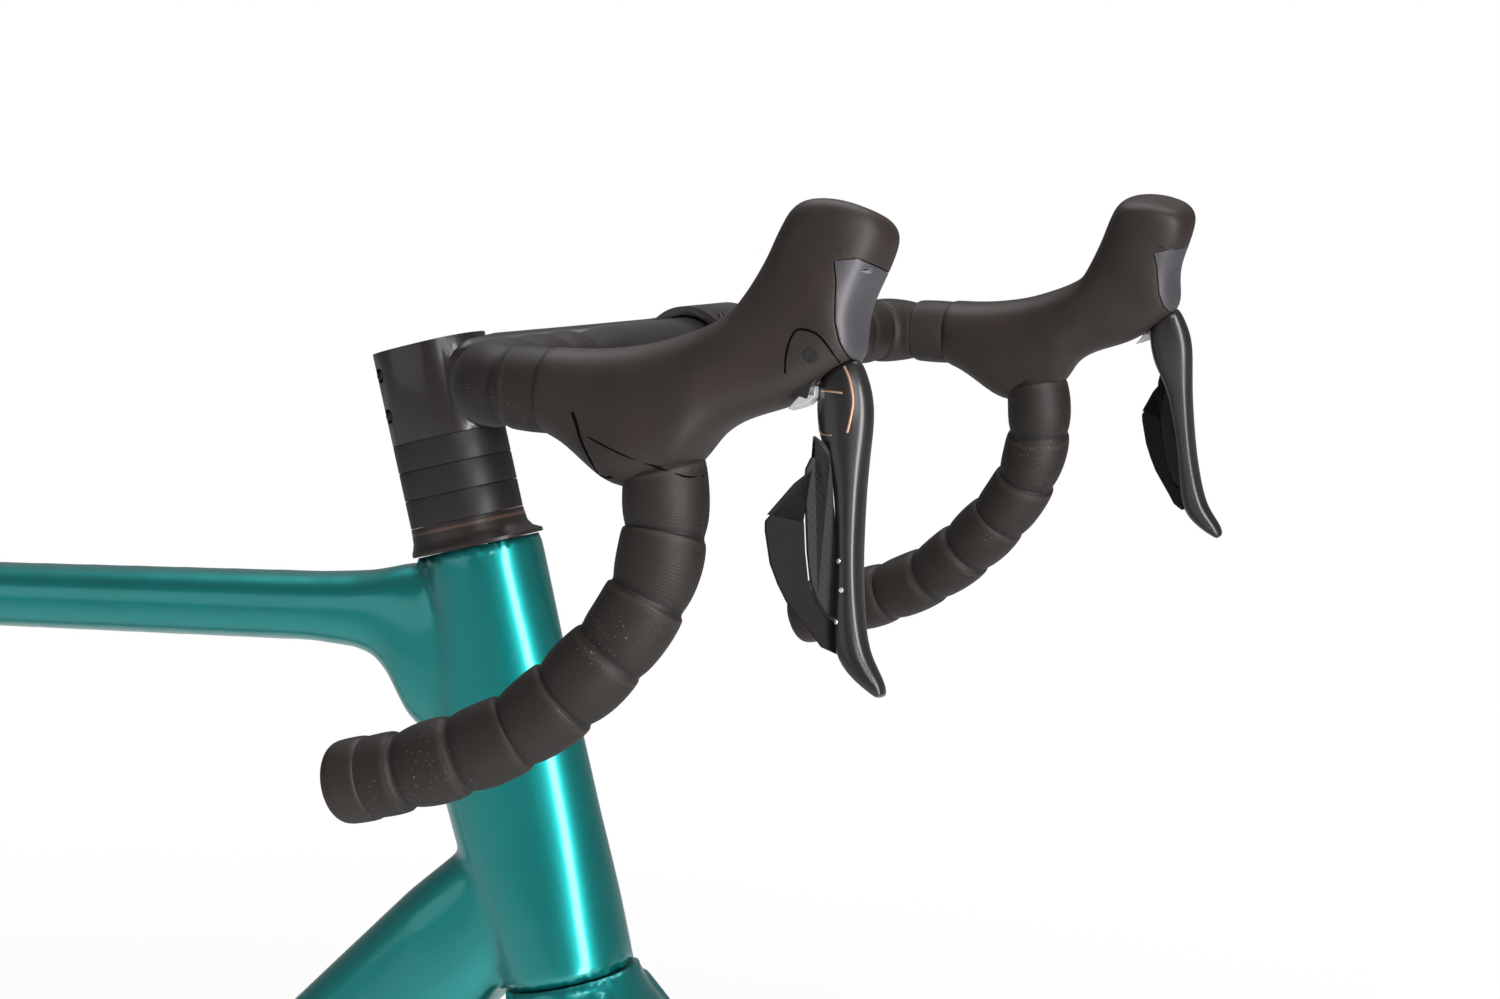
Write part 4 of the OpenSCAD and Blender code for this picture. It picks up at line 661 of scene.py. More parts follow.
def walk(points, step):
    """Points along the smooth curve, a step apart, with the heading at each"""
    dense = [curve_point(points, k / FINE) for k in range(FINE * (len(points) - 1) + 1)]
    out, travelled, wanted = [], 0.0, 0.0
    for a, b in zip(dense, dense[1:]):
        length = (b - a).length
        while wanted <= travelled + length:
            out.append((a.lerp(b, (wanted - travelled) / length), (b - a).normalized()))
            wanted += step
        travelled += length
    return out


def across_path(heading, lean=0.0):
    """The two axes of a ring that crosses the path, leant forward over it"""
    u = Vector((0, 0, 1)).cross(heading)
    u = u.normalized() if u.length > 0.15 else Vector((0, -1, 0))
    u = (u - heading * u.dot(heading)).normalized()
    v = heading.cross(u)
    leant = Matrix.Rotation(lean, 3, v)
    return leant @ u, v


def lever_point(x, y, z):
    """Metres, from millimetres in the right lever's own plane"""
    return (PIVOT + FORWARD * x + LEVER_SIDE * y + LEVER_UP * z) * MM


def lever_ring(upper, lower, half, power, grow):
    """Ring between an upper and a lower point of the lever's side view"""
    up = Vector((upper[0] - lower[0], upper[1] - lower[1]))
    v = (FORWARD * up.x + LEVER_UP * up.y).normalized()
    middle = lever_point((upper[0] + lower[0]) / 2, 0, (upper[1] + lower[1]) / 2)
    return Ring(middle, LEVER_SIDE, v, half * grow * MM, up.length / 2 * grow * MM, power)


def round_ring(at, heading, r, lean=0.0):
    """Round ring across a path, all in millimetres"""
    return Ring(at * MM, *across_path(heading, lean), r * MM, r * MM)


CLAMP_R, GRIP_R, CLAMP_END = 15.9, 11.9, 95


def bar_grip(name):
    """The bare bar, drawn from the stem to the end of the drop"""
    step, rings = 9.0, []
    for k, (at, heading) in enumerate(walk(BAR_POINTS, step)):
        taper = max(0, k * step - CLAMP_END) * 0.13
        rings.append(round_ring(at, heading, max(GRIP_R, CLAMP_R - taper)))
    return loft(name, rings, 12, 1)


# Each ring of a wrap: fifths of the way to the next wrap, rise in lips, and the edge attribute: 1 on
# the lip, lightened in patches, and -1 in the sunken line between wraps, painted as shade
WRAP_PROFILE = [(0.0, 0.05, 0.3), (0.2, 0.55, 1.0), (1.3, 0.95, 0.0), (2.7, 0.9, 0.0),
    (4.1, 0.35, 0.0), (4.84, -0.75, -1.0)]
# Millimetres along the bar: the tape's start, the bar's trimmed end, the tape's end, and the walk
TAPE_START, END_TRIM, TAPE_TRIM, TAPE_WALK = 118.0, 3, 6.0, 0.5
TAPE_SIDES = 16


def bar_wrap(name):
    """Cushioned tape: each wrap overlaps the one before with a leaning lip"""
    sizes = bpy.context.scene.bicycle_sizes
    lip = sizes.tape_lip / MM
    path = walk(BAR_POINTS, TAPE_WALK)
    length = len(path) * TAPE_WALK - TAPE_TRIM - TAPE_START
    wraps = round(length / (sizes.tape_wrap / MM))
    step = length / wraps / 5
    rings, edges, alongs = [], [], []
    for w in range(wraps):
        for f, rise, edge in WRAP_PROFILE:
            run = TAPE_START + (w * 5 + f) * step
            r = TAPE_R - 0.35 + (rise + 0.22 * sin(w * 2.4 + f * 0.9)) * lip
            if w == 0 and f < 1:
                r = TAPE_R - 1.2
            rings.append(round_ring(*path[int(run / TAPE_WALK)], r,
                sizes.tape_lean * (0.75 + 0.35 * sin(w * 1.7))))
            edges += [edge] * TAPE_SIDES
            alongs += [run * MM] * TAPE_SIDES
    piece = loft(name, rings, TAPE_SIDES, 0)
    add_attribute(piece, "edge", edges)
    add_attribute(piece, "along", alongs)
    modify(piece, "SUBSURF", levels=2, render_levels=2)
    smooth(piece)
    return piece


def bar_plug(name):
    """Rounded plug in the open end of the bar, over the last of the tape"""
    path = walk(BAR_POINTS, 1.0)[:-END_TRIM]
    rings = []
    for back, r in ((14.0, 13.6), (13.4, 15.1), (11, 15.5), (4, 15.4), (0.8, 15.0), (-1.2, 13.2),
            (-2.2, 9.5), (-2.0, 6.5)):
        at, heading = path[-1 - int(max(back, 0))]
        if back < 1:
            at = at - heading * back
        rings.append(round_ring(at, heading, r))
    return loft(name, rings, 16, 2)


def add_attribute(piece, name, values):
    """Number on each vertex; later vertices, such as an end's, take the last one"""
    layer = piece.data.attributes.new(name, "FLOAT", "POINT")
    for k, item in enumerate(layer.data):
        item.value = values[k] if k < len(values) else values[-1]


HOOD_RINGS = [
    ((-92.9, -2.8), (-92.5, -32.6), 15.2, 2.2), ((-86, -2.9), (-86, -34), 15.8, 2.2),
    ((-75.7, -2.4), (-77, -39.5), 16.5, 2.3), ((-63.4, -0.6), (-66.5, -47), 17, 2.4),
    ((-53.1, 1.9), (-56, -48), 17.2, 2.4), ((-44.9, 5), (-44.5, -43.5), 17.2, 2.4),
    ((-38.1, 7.7), (-35.5, -38), 17, 2.4), ((-32.6, 10.5), (-31, -27), 16.6, 2.5),
    ((-27.7, 13.7), (-20.5, -20), 16.2, 2.5), ((-25, 18.8), (-8.1, -16.2), 15.7, 2.5),
    ((-22.6, 23.8), (1.5, -11.2), 15.3, 2.5), ((-20.6, 28.2), (11.5, -2.4), 15.2, 2.6),
    ((-18.6, 32.8), (18, 2.6), 15.4, 2.7), ((-16.9, 37.2), (16.3, 12.2), 15.6, 2.8),
    ((-15.4, 41.1), (16.7, 20.5), 15.9, 2.8), ((-14, 44.4), (19, 27.7), 16.3, 2.8),
    ((-12.6, 47.4), (21.3, 34.6), 16.5, 2.8), ((-9.8, 50.8), (22.7, 40.1), 16.2, 2.7),
    ((-5.2, 52.6), (22.9, 43.6), 15.2, 2.6), ((2, 53), (21.6, 46.7), 13.2, 2.5),
    ((7, 52.2), (18.7, 49.2), 9.5, 2.3)]
PLATE_OUTLINE = [(9.4, 34.2), (12, 34.1), (17.2, 32.9), (24, 30.8), (38, 27), (38, -12), (24, -12),
    (17, -4), (15.6, 1), (13.2, 6.2), (11.4, 12.5), (10.8, 19), (10.4, 25.4), (9.2, 31)]


def outline_grown(outline, by):
    """The outline, moved out by a distance"""
    out, n = [], len(outline)
    for k in range(n):
        a, b, c = (Vector(outline[(k + d) % n]) for d in (-1, 0, 1))
        first, last = (b - a).normalized(), (c - b).normalized()
        normal = Vector((first.y + last.y, -(first.x + last.x)))
        normal.normalize()
        out.append(tuple(b - normal * by))
    return out


# Metres: half the depth of the tools that part hood and plate, and the slot round the blade
TOOL_HALF, BLADE_SLOT = 0.04, 0.0014


def hood_and_plate():
    """The rubber hood and the satin front plate, cut apart along their seam"""
    whole = loft("lever_hood_right", [lever_ring(up, low, half, power, 1.015)
        for up, low, half, power in HOOD_RINGS], 16, 2)
    plate = copied(whole, "lever_plate_right")
    origin = lever_point(0, 0, 0)
    seam = bpy.context.scene.bicycle_sizes.seam / MM
    keep = prism("plate_tool", PLATE_OUTLINE, FORWARD, origin, TOOL_HALF)
    cut = prism("hood_tool", outline_grown(PLATE_OUTLINE, seam), FORWARD, origin, TOOL_HALF)
    slot = lever_blade("slot_tool", BLADE_SLOT)
    for piece, tool, operation in ((plate, keep, "INTERSECT"), (whole, cut, "DIFFERENCE")):
        carve(piece, tool, operation)
        carve(piece, slot, "DIFFERENCE")
        soften(piece, SOFT_EDGE, 40, 35)
        drop(tool)
    drop(slot)
    return whole, plate


BLADE_RINGS = [
    ((17, 2.4), (5.6, -2.2), 5), ((22.3, -8), (3.9, -8.6), 6.2), ((23.8, -17.2), (4.7, -16), 6.5),
    ((23.9, -26), (6.6, -23.6), 6.4), ((24.1, -33.1), (10.4, -30.2), 6.2),
    ((24.3, -39.1), (13.4, -37.1), 6), ((25.2, -50.7), (16.2, -49.2), 5.9),
    ((26.5, -63.2), (18.3, -61.2), 5.8), ((28.4, -74.3), (19.3, -71.8), 5.6),
    ((30.6, -84), (20.1, -81.9), 5.4), ((33.3, -91.3), (21.4, -91.1), 5.2),
    ((37.3, -96.6), (25.7, -97.3), 4.8), ((39.9, -100.8), (32.4, -101.9), 4.2),
    ((40.1, -103.2), (37.6, -104.6), 2.8)]


def lever_blade(name, gap=0.0):
    """Lacquered blade that narrows, then kicks forward at the tip"""
    rings = []
    for front, rear, half in BLADE_RINGS:
        ring = lever_ring(front, rear, half, 2.4, 1.03)
        ring.a, ring.b = ring.a + gap, ring.b + gap
        rings.append(ring)
    return loft(name, rings, 16, 2)


# Outlines of the shift paddles, drawn from their upright hinge line behind the blade
REAR_PADDLE = [(-12.9, -38.1), (-15.3, -40.6), (-22.3, -51.2), (-23.3, -53.6), (-22.9, -56.8),
    (-19.9, -66.8), (-16.5, -73), (-12.9, -78.2), (-2.9, -87.6), (0.4, -91), (6, -92.6), (6, -84.2),
    (4.2, -82.8), (-0.4, -80.9), (-4.1, -76.4), (-6.9, -70.8), (-9.2, -61.6), (-10.9, -52.1)]
FRONT_PADDLE = [(-9.8, -25.6), (-8, -26.6), (-5.9, -29.2), (-2, -34), (2.4, -45.4), (4.6, -60.2),
    (6, -76.9), (6, -83.2), (4.1, -82), (0, -80.2), (-3.5, -76), (-6.2, -70.6), (-8.5, -61.5),
    (-10.2, -52.1), (-12.4, -38.2), (-12.6, -35.3), (-11.4, -31.5)]
PADDLE_HINGE = (17, -2)
PADDLE_HALF, PADDLE_GAP = 0.00115, 0.0003
PADDLE_FLARE = radians(33.4)


def paddle_wing(name, outline):
    """Thin moulded wing behind the blade, flared outwards, with softened edges"""
    along = FORWARD * cos(PADDLE_FLARE) + LEVER_SIDE * sin(PADDLE_FLARE)
    piece = prism(name, outline, along, lever_point(*PADDLE_HINGE, 0), PADDLE_HALF)
    modify(piece, "BEVEL", width=0.0005, segments=2, limit_method="ANGLE", angle_limit=radians(28))
    modify(piece, "TRIANGULATE")
    tool = lever_blade("blade_tool", PADDLE_GAP)
    carve(piece, tool, "DIFFERENCE")
    drop(tool)
    smooth(piece, 22)
    return piece


class CockpitBar(bpy.types.Operator):
    """Bare bar, wrapped tape and end plugs"""

    bl_idname = "bicycle.cockpit_bar"
    bl_label = "Bar and tape"

    def execute(self, context):
        black = satin_black("bar_black", None, 0.3, 0.3)
        declare_pair(bar_grip("bar_right"), black, "steering", "composite_satin", "handlebar")
        declare_pair(bar_wrap("bar_tape_right"), bar_tape_finish(), "steering", "grip_tape",
            "bar_tape")
        declare_pair(bar_plug("bar_plug_right"), hood_rubber("plug_rubber"), "steering",
            "composite_satin", "bar_end_plugs")
        return {"FINISHED"}


class LeverHoods(bpy.types.Operator):
    """Rubber hoods with their front plates"""

    bl_idname = "bicycle.lever_hoods"
    bl_label = "Lever hoods"

    def execute(self, context):
        hood, plate = hood_and_plate()
        declare_pair(hood, hood_rubber(), "steering", "hood_rubber", "brake_hoods")
        declare_pair(plate, lever_plate(), "steering", "plate_satin", "lever_brackets")
        return {"FINISHED"}


class LeverBlades(bpy.types.Operator):
    """Brake lever blades and the two shift paddles behind each"""

    bl_idname = "bicycle.lever_blades"
    bl_label = "Blades and paddles"

    def execute(self, context):
        lacquer = clouded("gloss_black", 40, (0.010, 0.009, 0.010), (0.022, 0.019, 0.018), 0.32,
            0.08, Metallic=0.3, Coat_Weight=0.45, Coat_Roughness=0.16)
        matt = clouded("paddle_black", 60, (0.0050, 0.0044, 0.0040), (0.0068, 0.0060, 0.0054), 0.72,
            Specular_IOR_Level=0.2)
        for piece, material, part, slot in (
                (lever_blade("brake_blade_right"), lacquer, "brake_lever", "composite_gloss"),
                (paddle_wing("paddle_rear_right", REAR_PADDLE), matt, "rear_paddle", "plate_satin"),
                (paddle_wing("paddle_front_right", FRONT_PADDLE), ribbed_paddle(), "front_paddle",
                    "plate_satin")):
            declare_pair(piece, material, f"SIDE_{part}", slot, f"SIDE_{part}")
        return {"FINISHED"}


# --- frame, fork and stem


def blended(name, nodes, voxel, steps):
    """One moulded shell from CAD nodes with softened joints"""
    piece = copy_of(name, *nodes)
    modify(piece, "REMESH", mode="VOXEL", voxel_size=voxel, use_smooth_shade=True)
    modify(piece, "SMOOTH", factor=0.5, iterations=steps)
    return piece


def flatten(piece, level, reach, radius):
    """Brings a tube's end, about the steering axis, onto its plane: a flat end with a crisp rim"""
    for v in piece.data.vertices:
        p = v.co / MM - STEER_FOOT
        along = p.dot(STEER_UP)
        if abs(along - level) < reach and (p - STEER_UP * along).length < radius:
            v.co += STEER_UP * (level - along) * MM


class FrameShell(bpy.types.Operator):
    """Painted frame and fork with blended tube joints"""

    bl_idname = "bicycle.frame_shell"
    bl_label = "Frame and fork"

    def execute(self, context):
        sizes = context.scene.bicycle_sizes
        teal = frame_paint()
        frame_nodes = ("front_triangle", "rear_triangle")
        shell = blended("frame_shell", frame_nodes, sizes.shell_voxel, sizes.blend_steps)
        fork = blended("fork_shell", ("fork",), sizes.shell_voxel * 0.8, sizes.blend_steps // 2)
        flatten(shell, HEAD_TOP, 3.6, 27)
        flatten(shell, HEAD_LOW, 3.6, 32)
        flatten(fork, CROWN_TOP, 2.8, 33)
        smooth(shell)
        smooth(fork)
        declare(shell, teal, "frame", "frame_paint", *frame_nodes)
        declare(fork, teal, "steering", "frame_paint", "fork")
        return {"FINISHED"}


# --- carried nodes


def finish_of_nodes():
    """Which finish each carried CAD node takes"""
    black = satin_black("composite_black")
    seal = satin_black("seal_black", (0.004, 0.004, 0.004), 0.6)
    alloy_black = alloy("alloy_black", tuple(colours().anodised), 0.32, 0.7)
    alloy_grey = alloy("alloy_grey", (0.09, 0.09, 0.095), 0.34, 0.8)
    bright = steel("bright_steel", tuple(colours().bright_steel))
    dark = steel("dark_steel", (0.05, 0.05, 0.055), 0.3)
    rim = satin_black("rim_cloth", (0.016, 0.016, 0.017), 0.3, 0.5)
    lacquer = satin_black("stem_lacquer", shaded(colours().satin_black, 1.5), 0.3, 0.25)
    return {
        lacquer: ("stem",),
        cover_finish(): ("headset_cover",),
        black: ("seatpost", "headset_spacers", "stem_faceplate", "stem_top_cap",
            "rear_derailleur_cage", "guide_pulley", "tension_pulley", "right_pedal", "left_pedal"),
        alloy_black: ("bottom_bracket", "seatpost_clamp", "saddle_clamp", "front_derailleur",
            "front_derailleur_cage", "rear_derailleur", "rear_derailleur_outer_link",
            "rear_derailleur_inner_link", "rear_derailleur_knuckle", "rear_caliper",
            "front_caliper", "front_hub", "rear_hub", "right_crank", "left_crank", "chainrings",
            "bottle_bosses", "derailleur_hanger"),
        alloy_grey: ("rear_axle", "front_axle", "saddle_rails"),
        seal: ("headset_bearings",),
        bright: ("front_disc", "rear_disc", "cassette", "chain", "pedal_axles"),
        dark: ("stem_bolts", "front_spokes", "rear_spokes"),
        rim: ("front_rim", "rear_rim"),
        tyre_rubber("front_tread", AXLE_X): ("front_tyre",),
        tyre_rubber("rear_tread", -AXLE_X): ("rear_tyre",)}


# Nodes that keep their CAD mesh, and round ones that are only shaded smooth; the rest get soft edges
PLAIN = ("headset_bearings", "bottle_bosses", "derailleur_hanger", "rear_derailleur_inner_link",
    "chainrings", "guide_pulley", "tension_pulley", "front_axle", "rear_axle", "front_disc",
    "rear_disc", "cassette", "chain", "pedal_axles", "front_spokes", "rear_spokes")
ROUND = ("front_tyre", "rear_tyre", "front_rim", "rear_rim", "front_hub", "rear_hub", "saddle_rails",
    "stem_bolts", "bottom_bracket")


def finished(node, material):
    """A copy of a CAD node with smooth curves, its edges softened unless it is round"""
    piece = copy_of(f"{node}_finished", node)
    if node in ROUND:
        smooth(piece, 33)
    else:
        edit(piece)
        bpy.ops.mesh.dissolve_limited(angle_limit=radians(0.6))
        object_mode()
        soften(piece, SOFT_EDGE, 38, 33, loop_slide=False)
    slots = {part["node"]: part["material_slot"] for part in frame["record"]["subparts"]}
    declare(piece, material, frame["nodes"][node]["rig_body"], slots[node], node)


class CarriedNodes(bpy.types.Operator):
    """Finishes of the pieces that keep their CAD shape"""

    bl_idname = "bicycle.carried_nodes"
    bl_label = "Carried pieces"

    def execute(self, context):
        for material, nodes in finish_of_nodes().items():
            for node in nodes:
                if node in PLAIN:
                    paint(frame["nodes"][node], material)
                else:
                    finished(node, material)
        return {"FINISHED"}


class Saddle(bpy.types.Operator):
    """Saddle, remeshed from its CAD node and rounded off as one piece"""

    bl_idname = "bicycle.saddle"
    bl_label = "Saddle"

    def execute(self, context):
        pad = blended("saddle_pad", ("saddle",), 0.003, 12)
        smooth(pad)
        declare(pad, saddle_cover(), "frame", "saddle_cover", "saddle")
        return {"FINISHED"}


# --- studio


def lamp(name, place, target, width, height, power):
    light = bpy.data.lights.new(name, "AREA")
    light.shape, light.size, light.size_y, light.energy = "RECTANGLE", width, height, power
    holder = bpy.data.objects.new(name, light)
    holder.location = place
    holder.rotation_euler = (Vector(target) - Vector(place)).to_track_quat("-Z", "Y").to_euler()
    bpy.context.scene.collection.objects.link(holder)


def backdrop_finish():
    """White to the camera and in reflections, with the bicycle's shadow kept"""
    f = Finish("backdrop")
    rays = f.node("ShaderNodeLightPath", {}, {}, "Is Camera Ray")
    outs = rays.socket.node.outputs
    seen = rays + Value(f, outs["Is Transmission Ray"]) + Value(f, outs["Is Glossy Ray"]) * 0.15
    white = f.node("ShaderNodeEmission", {}, {"Color": WHITE, "Strength": 1.0})
    cloud = f.noise(3, 2.0)
    floor = f.node("ShaderNodeBsdfPrincipled", {}, {"Base Color": f.mix(cloud,
        (0.86, 0.86, 0.86), (0.9, 0.9, 0.9)), "Roughness": 0.8})
    x, y, _ = f.axes()
    far = f.ramp((x * x + y * y) ** 0.5, 1.2, 2.6)
    both = f.node("ShaderNodeMixShader", {}, {0: seen * (0.86 + 0.14 * far), 1: floor, 2: white})
    f.node("ShaderNodeOutputMaterial", {}, {"Surface": both})
    return f.material


class Studio(bpy.types.Operator):
    """Floor, lamps, room light and camera"""

    bl_idname = "bicycle.studio"
    bl_label = "Studio"

    def execute(self, context):
        studio = context.scene.bicycle_studio
        object_mode()
        bpy.ops.object.select_all(action="DESELECT")
        bpy.ops.mesh.primitive_plane_add(size=60, location=(0, 0, 0))
        floor = context.object
        floor.name = "studio_floor"
        paint(floor, backdrop_finish())
        aim = (0.42, 0, 0.85)
        lamp("strip_lamp", (2.2, -1.15, 1.2), aim, 0.62, 2.4, studio.strip_power)
        lamp("key_lamp", (1.5, -2.3, 2.4), aim, 1.3, 1.0, studio.key_power)
        lamp("fill_lamp", (-1.6, -2.4, 1.3), (0, 0, 0.7), 2.0, 1.4, studio.fill_power)
        lamp("top_lamp", (0, 0.6, 3.0), (0, 0, 0.5), 2.6, 1.6, studio.top_power)
        room = Finish("room", "worlds")
        ray = room.node("ShaderNodeLightPath", {}, {}, "Is Camera Ray")
        sky, seen = (room.node("ShaderNodeBackground", {}, {"Color": WHITE, "Strength": strength})
            for strength in (studio.sky, 1.0))
        both = room.node("ShaderNodeMixShader", {}, {0: ray, 1: sky, 2: seen})
        room.node("ShaderNodeOutputWorld", {}, {"Surface": both})
        context.scene.world = room.material
        data = bpy.data.cameras.new("camera")
        data.sensor_fit, data.sensor_width, data.lens = "AUTO", SENSOR, studio.lens
        data.clip_end = 100
        camera = bpy.data.objects.new("camera", data)
        context.scene.collection.objects.link(camera)
        right, up, forward = camera_axes()
        turn = Matrix((right, up, -forward)).transposed().to_4x4()
        camera.matrix_world = Matrix.Translation(Vector(studio.camera_place)) @ turn
        context.scene.camera = camera
        context.scene.view_settings.view_transform = "Standard"
        return {"FINISHED"}


# --- image points

# Where features show in the photograph's 1500 by 999 frame
IMAGE_POINTS = {
    "top_edge": (1150, 194), "right_edge": (1222, 532), "hood_top": (824, 198),
    "blade_tip": (880, 698.5), "bar_end": (320.5, 778), "stem_rear": (373, 355),
    "pivot_seam": (812.5, 351.5), "pivot_bolt": (811, 355), "hood_window": (801, 395),
    "plate_mark": (868, 270.5), "copper_upper": (830.5, 391.5), "copper_ridge": (848.5, 399.5),
    "copper_lower": (825, 430), "blade_screw": (838.5, 561), "hood_fold": (590, 448),
    "lower_seam": (646, 457)}


def draped(carriers, name, offsets):
    """Places on the surface round a named point, from offsets in millimetres in the lever's plane"""
    anchor = place_on(carriers, *IMAGE_POINTS[name])[0]
    return [place_on(carriers, *to_picture(anchor + (FORWARD * x + LEVER_UP * z) * MM))
        for x, z in offsets]


def seam_line(name, places, radius):
    """Thin line that lies a little into the surface along the places"""
    along, normals = zip(*places)
    steps = 3 * (len(places) - 1)
    path = [(curve_point(along, k / 3), curve_point(normals, k / 3)) for k in range(steps + 1)]
    rings = []
    for k, (at, normal) in enumerate(path):
        heading = (path[min(k + 1, steps)][0] - path[max(k - 1, 0)][0]).normalized()
        side = heading.cross(normal).normalized()
        rings.append(Ring(at - normal.normalized() * radius * LINE_SINK, side, heading.cross(side),
            radius, radius))
    return loft(name, rings, 6, 1)


def patch(name, places, rise, depth=0.0012):
    """Thin plate laid on the surface, with its outline through the places"""
    normal = sum((n for at, n in places), Vector()).normalized()
    piece = slab(name, [at - normal * depth for at, _ in places], normal * (depth + rise))
    soften(piece, 0.0003, 40, 40)
    return piece


def housing(name, carriers, anchor, outline, rise):
    """Small block, square to the lever's plane, brought out of the surface towards the camera"""
    at = place_on(carriers, *IMAGE_POINTS[anchor])[0]
    toward = (Vector(bpy.context.scene.bicycle_studio.camera_place) - at).normalized()
    middle = at + toward * rise + LEVER_SIDE * HOUSING_HALF
    piece = prism(name, outline, FORWARD, middle, HOUSING_HALF)
    soften(piece, SOFT_EDGE, 40, 22)
    return piece


def button(name, place, radius, rise, dip):
    """Round screw head or dimple: a rim that stands by rise and a middle that sinks by dip"""
    at, normal = place
    u, v = across_path(normal)
    rings = [Ring(at + normal * h, u, v, radius * k, radius * k) for h, k in
        ((-0.0015, 1), (rise * 0.6, 1), (rise, 0.88), (rise, 0.62), (rise - dip, 0.5))]
    return loft(name, rings, 12, 1)


# Thin lines: what carries each, its radius in metres, and its way in millimetres from its point; the
# lines on the hood and tape are painted shade in its seams and folds
LINES = {
    "pivot_seam": ("skin", 0.0005, ((-8.3, -8), (-8.9, -2.9), (-8.4, 2.3), (-7.2, 5.4), (-6, 6.6),
        (-3.2, 6.7), (0, 6), (3, 4), (6.6, 0.4), (9.8, -2.8))),
    "copper_upper": ("blade", 0.00045, ((-4.2, -0.1), (0, 0), (4.1, -0.1))),
    # Painted highlight: the next line runs down the blade's lit ridge in copper colour
    "copper_ridge": ("blade", 0.0006, ((-3.1, 10.6), (-0.9, 7.2), (0.7, 3.1), (1.7, -1),
        (1.5, -6.5), (1, -10.7))),
    "copper_lower": ("blade", 0.00038, ((-2.8, 1.7), (-2, -0.5), (-0.5, -1.5), (2.6, -1.5))),
    "hood_fold": ("grip", 0.0008, ((-8.3, 11.1), (-6.3, 7.7), (-3.6, 2), (1, -4.2), (5.4, -8.7),
        (8.3, -11))),
    "lower_seam": ("grip", 0.0004, ((-21.7, 4.4), (-15.5, 2.1), (-7.5, -0.4), (1.8, -2.4),
        (12.5, -4.6), (17.2, -4.8), (21.3, -4)))}
WINDOW = ((-5.1, 1.8), (-0.9, 3.6), (3.4, 5), (4.5, 3.6), (4.8, 0.1), (2.8, -2.3), (-0.8, -3.9),
    (-4.1, -4.9))
# Outline of a near-black block that is painted shade inside the window's opening
WINDOW_HOLE_SHADE = ((-2.2, 3.1), (3.3, 4.4), (2.2, -1.1), (-2.9, 0))
PLATE_MARK = ((-2.1, 0.3), (-0.1, 0.9), (2, 0.4), (2.1, -0.3), (0.1, -0.7), (-1.6, -0.4))
BLADE_SCREWS = ((0, 0), (2.2, -9.1), (1.9, -19.3))
HOUSING_HALF = 0.0025


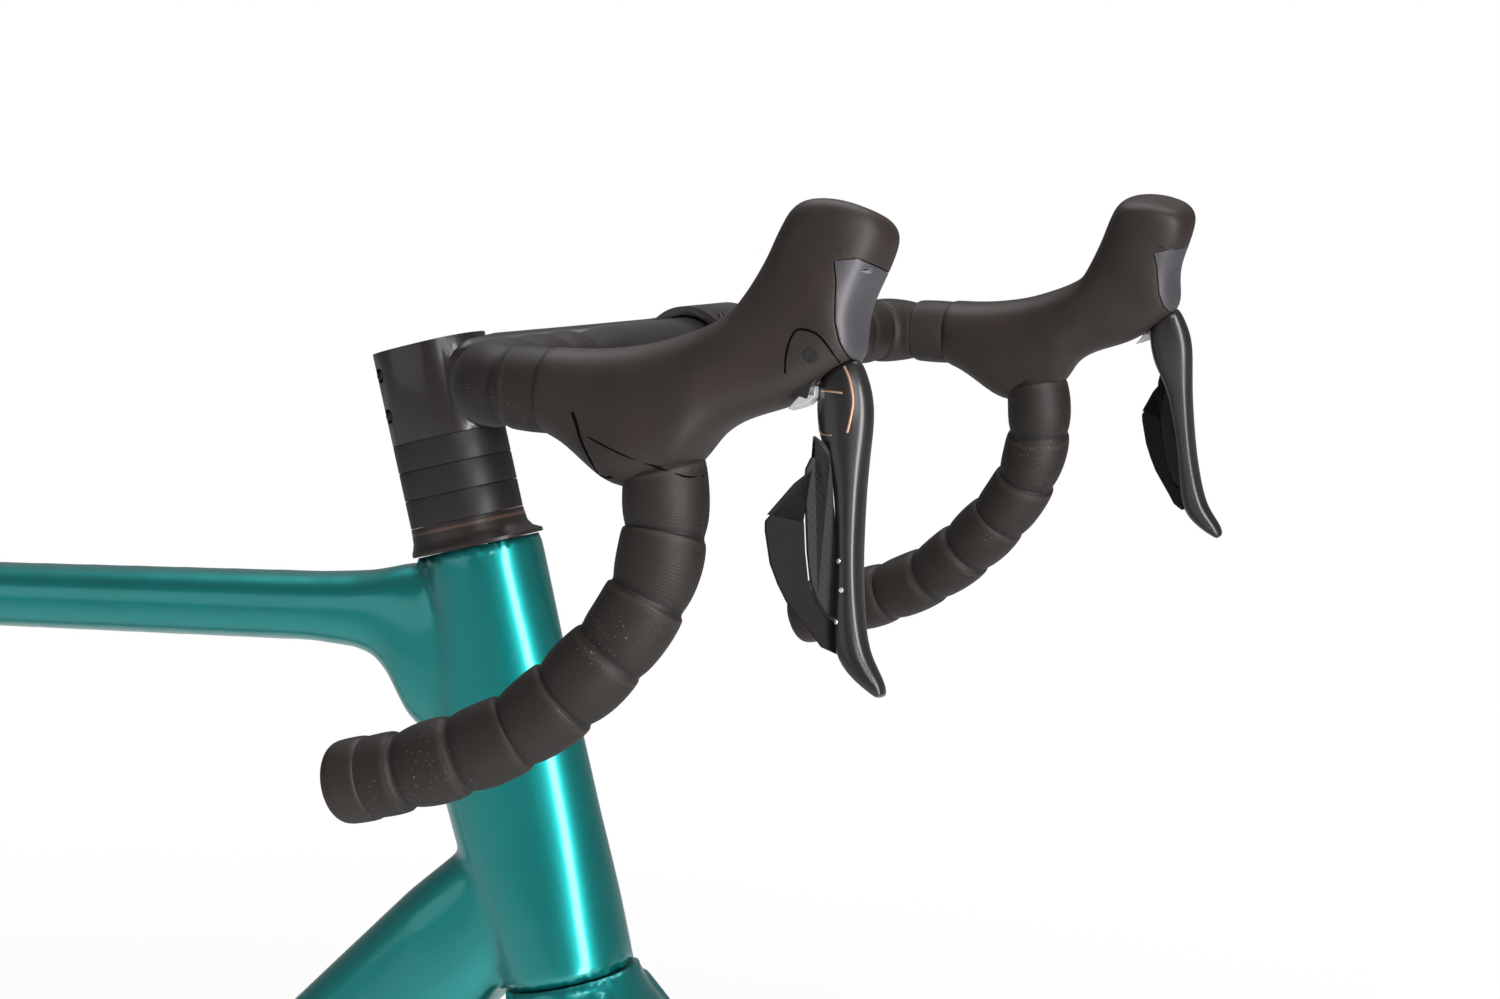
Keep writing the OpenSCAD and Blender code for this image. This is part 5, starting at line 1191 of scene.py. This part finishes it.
class LeverDetails(bpy.types.Operator):
    """Seams and folds as lines of painted shade, bolts, window and edge lines of each lever"""

    bl_idname = "bicycle.lever_details"
    bl_label = "Lever details"

    def execute(self, context):
        objects = bpy.data.objects
        skin = [objects["lever_hood_right"], objects["lever_plate_right"]]
        blade = [objects["brake_blade_right"]]
        carriers = {"skin": skin, "blade": blade, "grip": skin + [objects["bar_tape_right"]]}
        # Painted shade: near-black for the lines sunk into the hood's seams and folds
        seam_shade = clouded("groove_black", 200, (0.0006, 0.0005, 0.0005), (0.0015, 0.0012, 0.0011),
            0.9, Specular_IOR_Level=0.05)
        # Painted shade: the pivot's dimple, rubber like the hood, is coloured far darker than the
        # hood round it
        bolt_shade = satin_black("bolt_dark", (0.0036, 0.0029, 0.0026), 0.75)
        silver = alloy("window_silver", (0.62, 0.62, 0.64), 0.34, 0.6)
        # Painted shade: a near-black block stands for the dark inside of the window's opening
        hole_shade = satin_black("window_hole", (0.004, 0.004, 0.0065), 0.5)
        # Copper for the blade's thin edge lines, and a painted highlight along its ridge
        copper = clouded("copper_line", 300, (0.42, 0.235, 0.155), (0.56, 0.33, 0.225), 0.35, 0.1,
            Metallic=0.5)
        soft = satin_black("mark_grey", (0.16, 0.155, 0.165), 0.4)
        made = [
            ("pivot_bolt", bolt_shade, "hood_rubber", button("pivot_bolt_right",
                place_on(skin, *IMAGE_POINTS["pivot_bolt"]), 0.0029, 0.0002, 0.0012)),
            ("hood_window", silver, "alloy_silver",
                housing("hood_window_right", skin, "hood_window", WINDOW, 0.0034)),
            (None, hole_shade, "composite_gloss",
                housing("hood_window_hole_right", skin, "hood_window", WINDOW_HOLE_SHADE, 0.0037)),
            ("plate_mark", soft, "plate_satin",
                patch("plate_mark_right", draped(skin, "plate_mark", PLATE_MARK), 0.0002))]
        for name, (carrier, radius, way) in LINES.items():
            material, slot = (copper, "composite_gloss") if carrier == "blade" \
                else (seam_shade, "hood_rubber")
            made.append((name, material, slot,
                seam_line(f"{name}_right", draped(carriers[carrier], name, way), radius)))
        for k, place in enumerate(draped(blade, "blade_screw", BLADE_SCREWS)):
            made.append((None if k else "blade_screw", silver, "alloy_silver",
                button(f"blade_screw_{k}_right", place, 0.0009, 0.0003, 0.0003)))
        for point, material, slot, piece in made:
            on_blade = piece.name.startswith(("copper", "blade"))
            declare_pair(piece, material, "SIDE_brake_lever" if on_blade else "steering", slot)
        return {"FINISHED"}


def edges_shown():
    """Picks where the outline and the plain features show, from the finished vertices, and keeps none
    of it
    """
    spots = {"top_edge": ("lever_hood_left", 1, min), "right_edge": ("brake_blade_left", 0, max),
        "hood_top": ("lever_hood_right", 1, min), "blade_tip": ("brake_blade_right", 1, max),
        "bar_end": ("bar_plug_right", 0, min), "stem_rear": ("stem_finished", 0, min)}
    for name, (piece, axis, pick) in spots.items():
        places = [to_picture(v.co) for v in bpy.data.objects[piece].data.vertices]
        pick(places, key=lambda place: place[axis])


class BicyclePanel(bpy.types.Panel):
    """The steps that make the bicycle"""

    bl_idname = "VIEW3D_PT_bicycle"
    bl_label = "Road bicycle"
    bl_space_type = "VIEW_3D"
    bl_region_type = "UI"
    bl_category = "Bicycle"

    def draw(self, context):
        for step in STEPS:
            self.layout.operator(step.bl_idname)


STEPS = (Studio, CarriedNodes, FrameShell, CockpitBar, LeverHoods, LeverBlades, Saddle,
    LeverDetails)
CLASSES = (*GROUPS.values(), *STEPS, BicyclePanel)


def register():
    for item in CLASSES:
        bpy.utils.register_class(item)
    for name, group in GROUPS.items():
        setattr(bpy.types.Scene, name, PointerProperty(type=group))


def unregister():
    for name in GROUPS:
        delattr(bpy.types.Scene, name)
    for item in reversed(CLASSES):
        bpy.utils.unregister_class(item)


def main():
    register()
    for step in STEPS:
        family, name = step.bl_idname.split(".")
        getattr(getattr(bpy.ops, family), name)()
    object_mode()
    edges_shown()


if __name__ == "__main__":
    main()
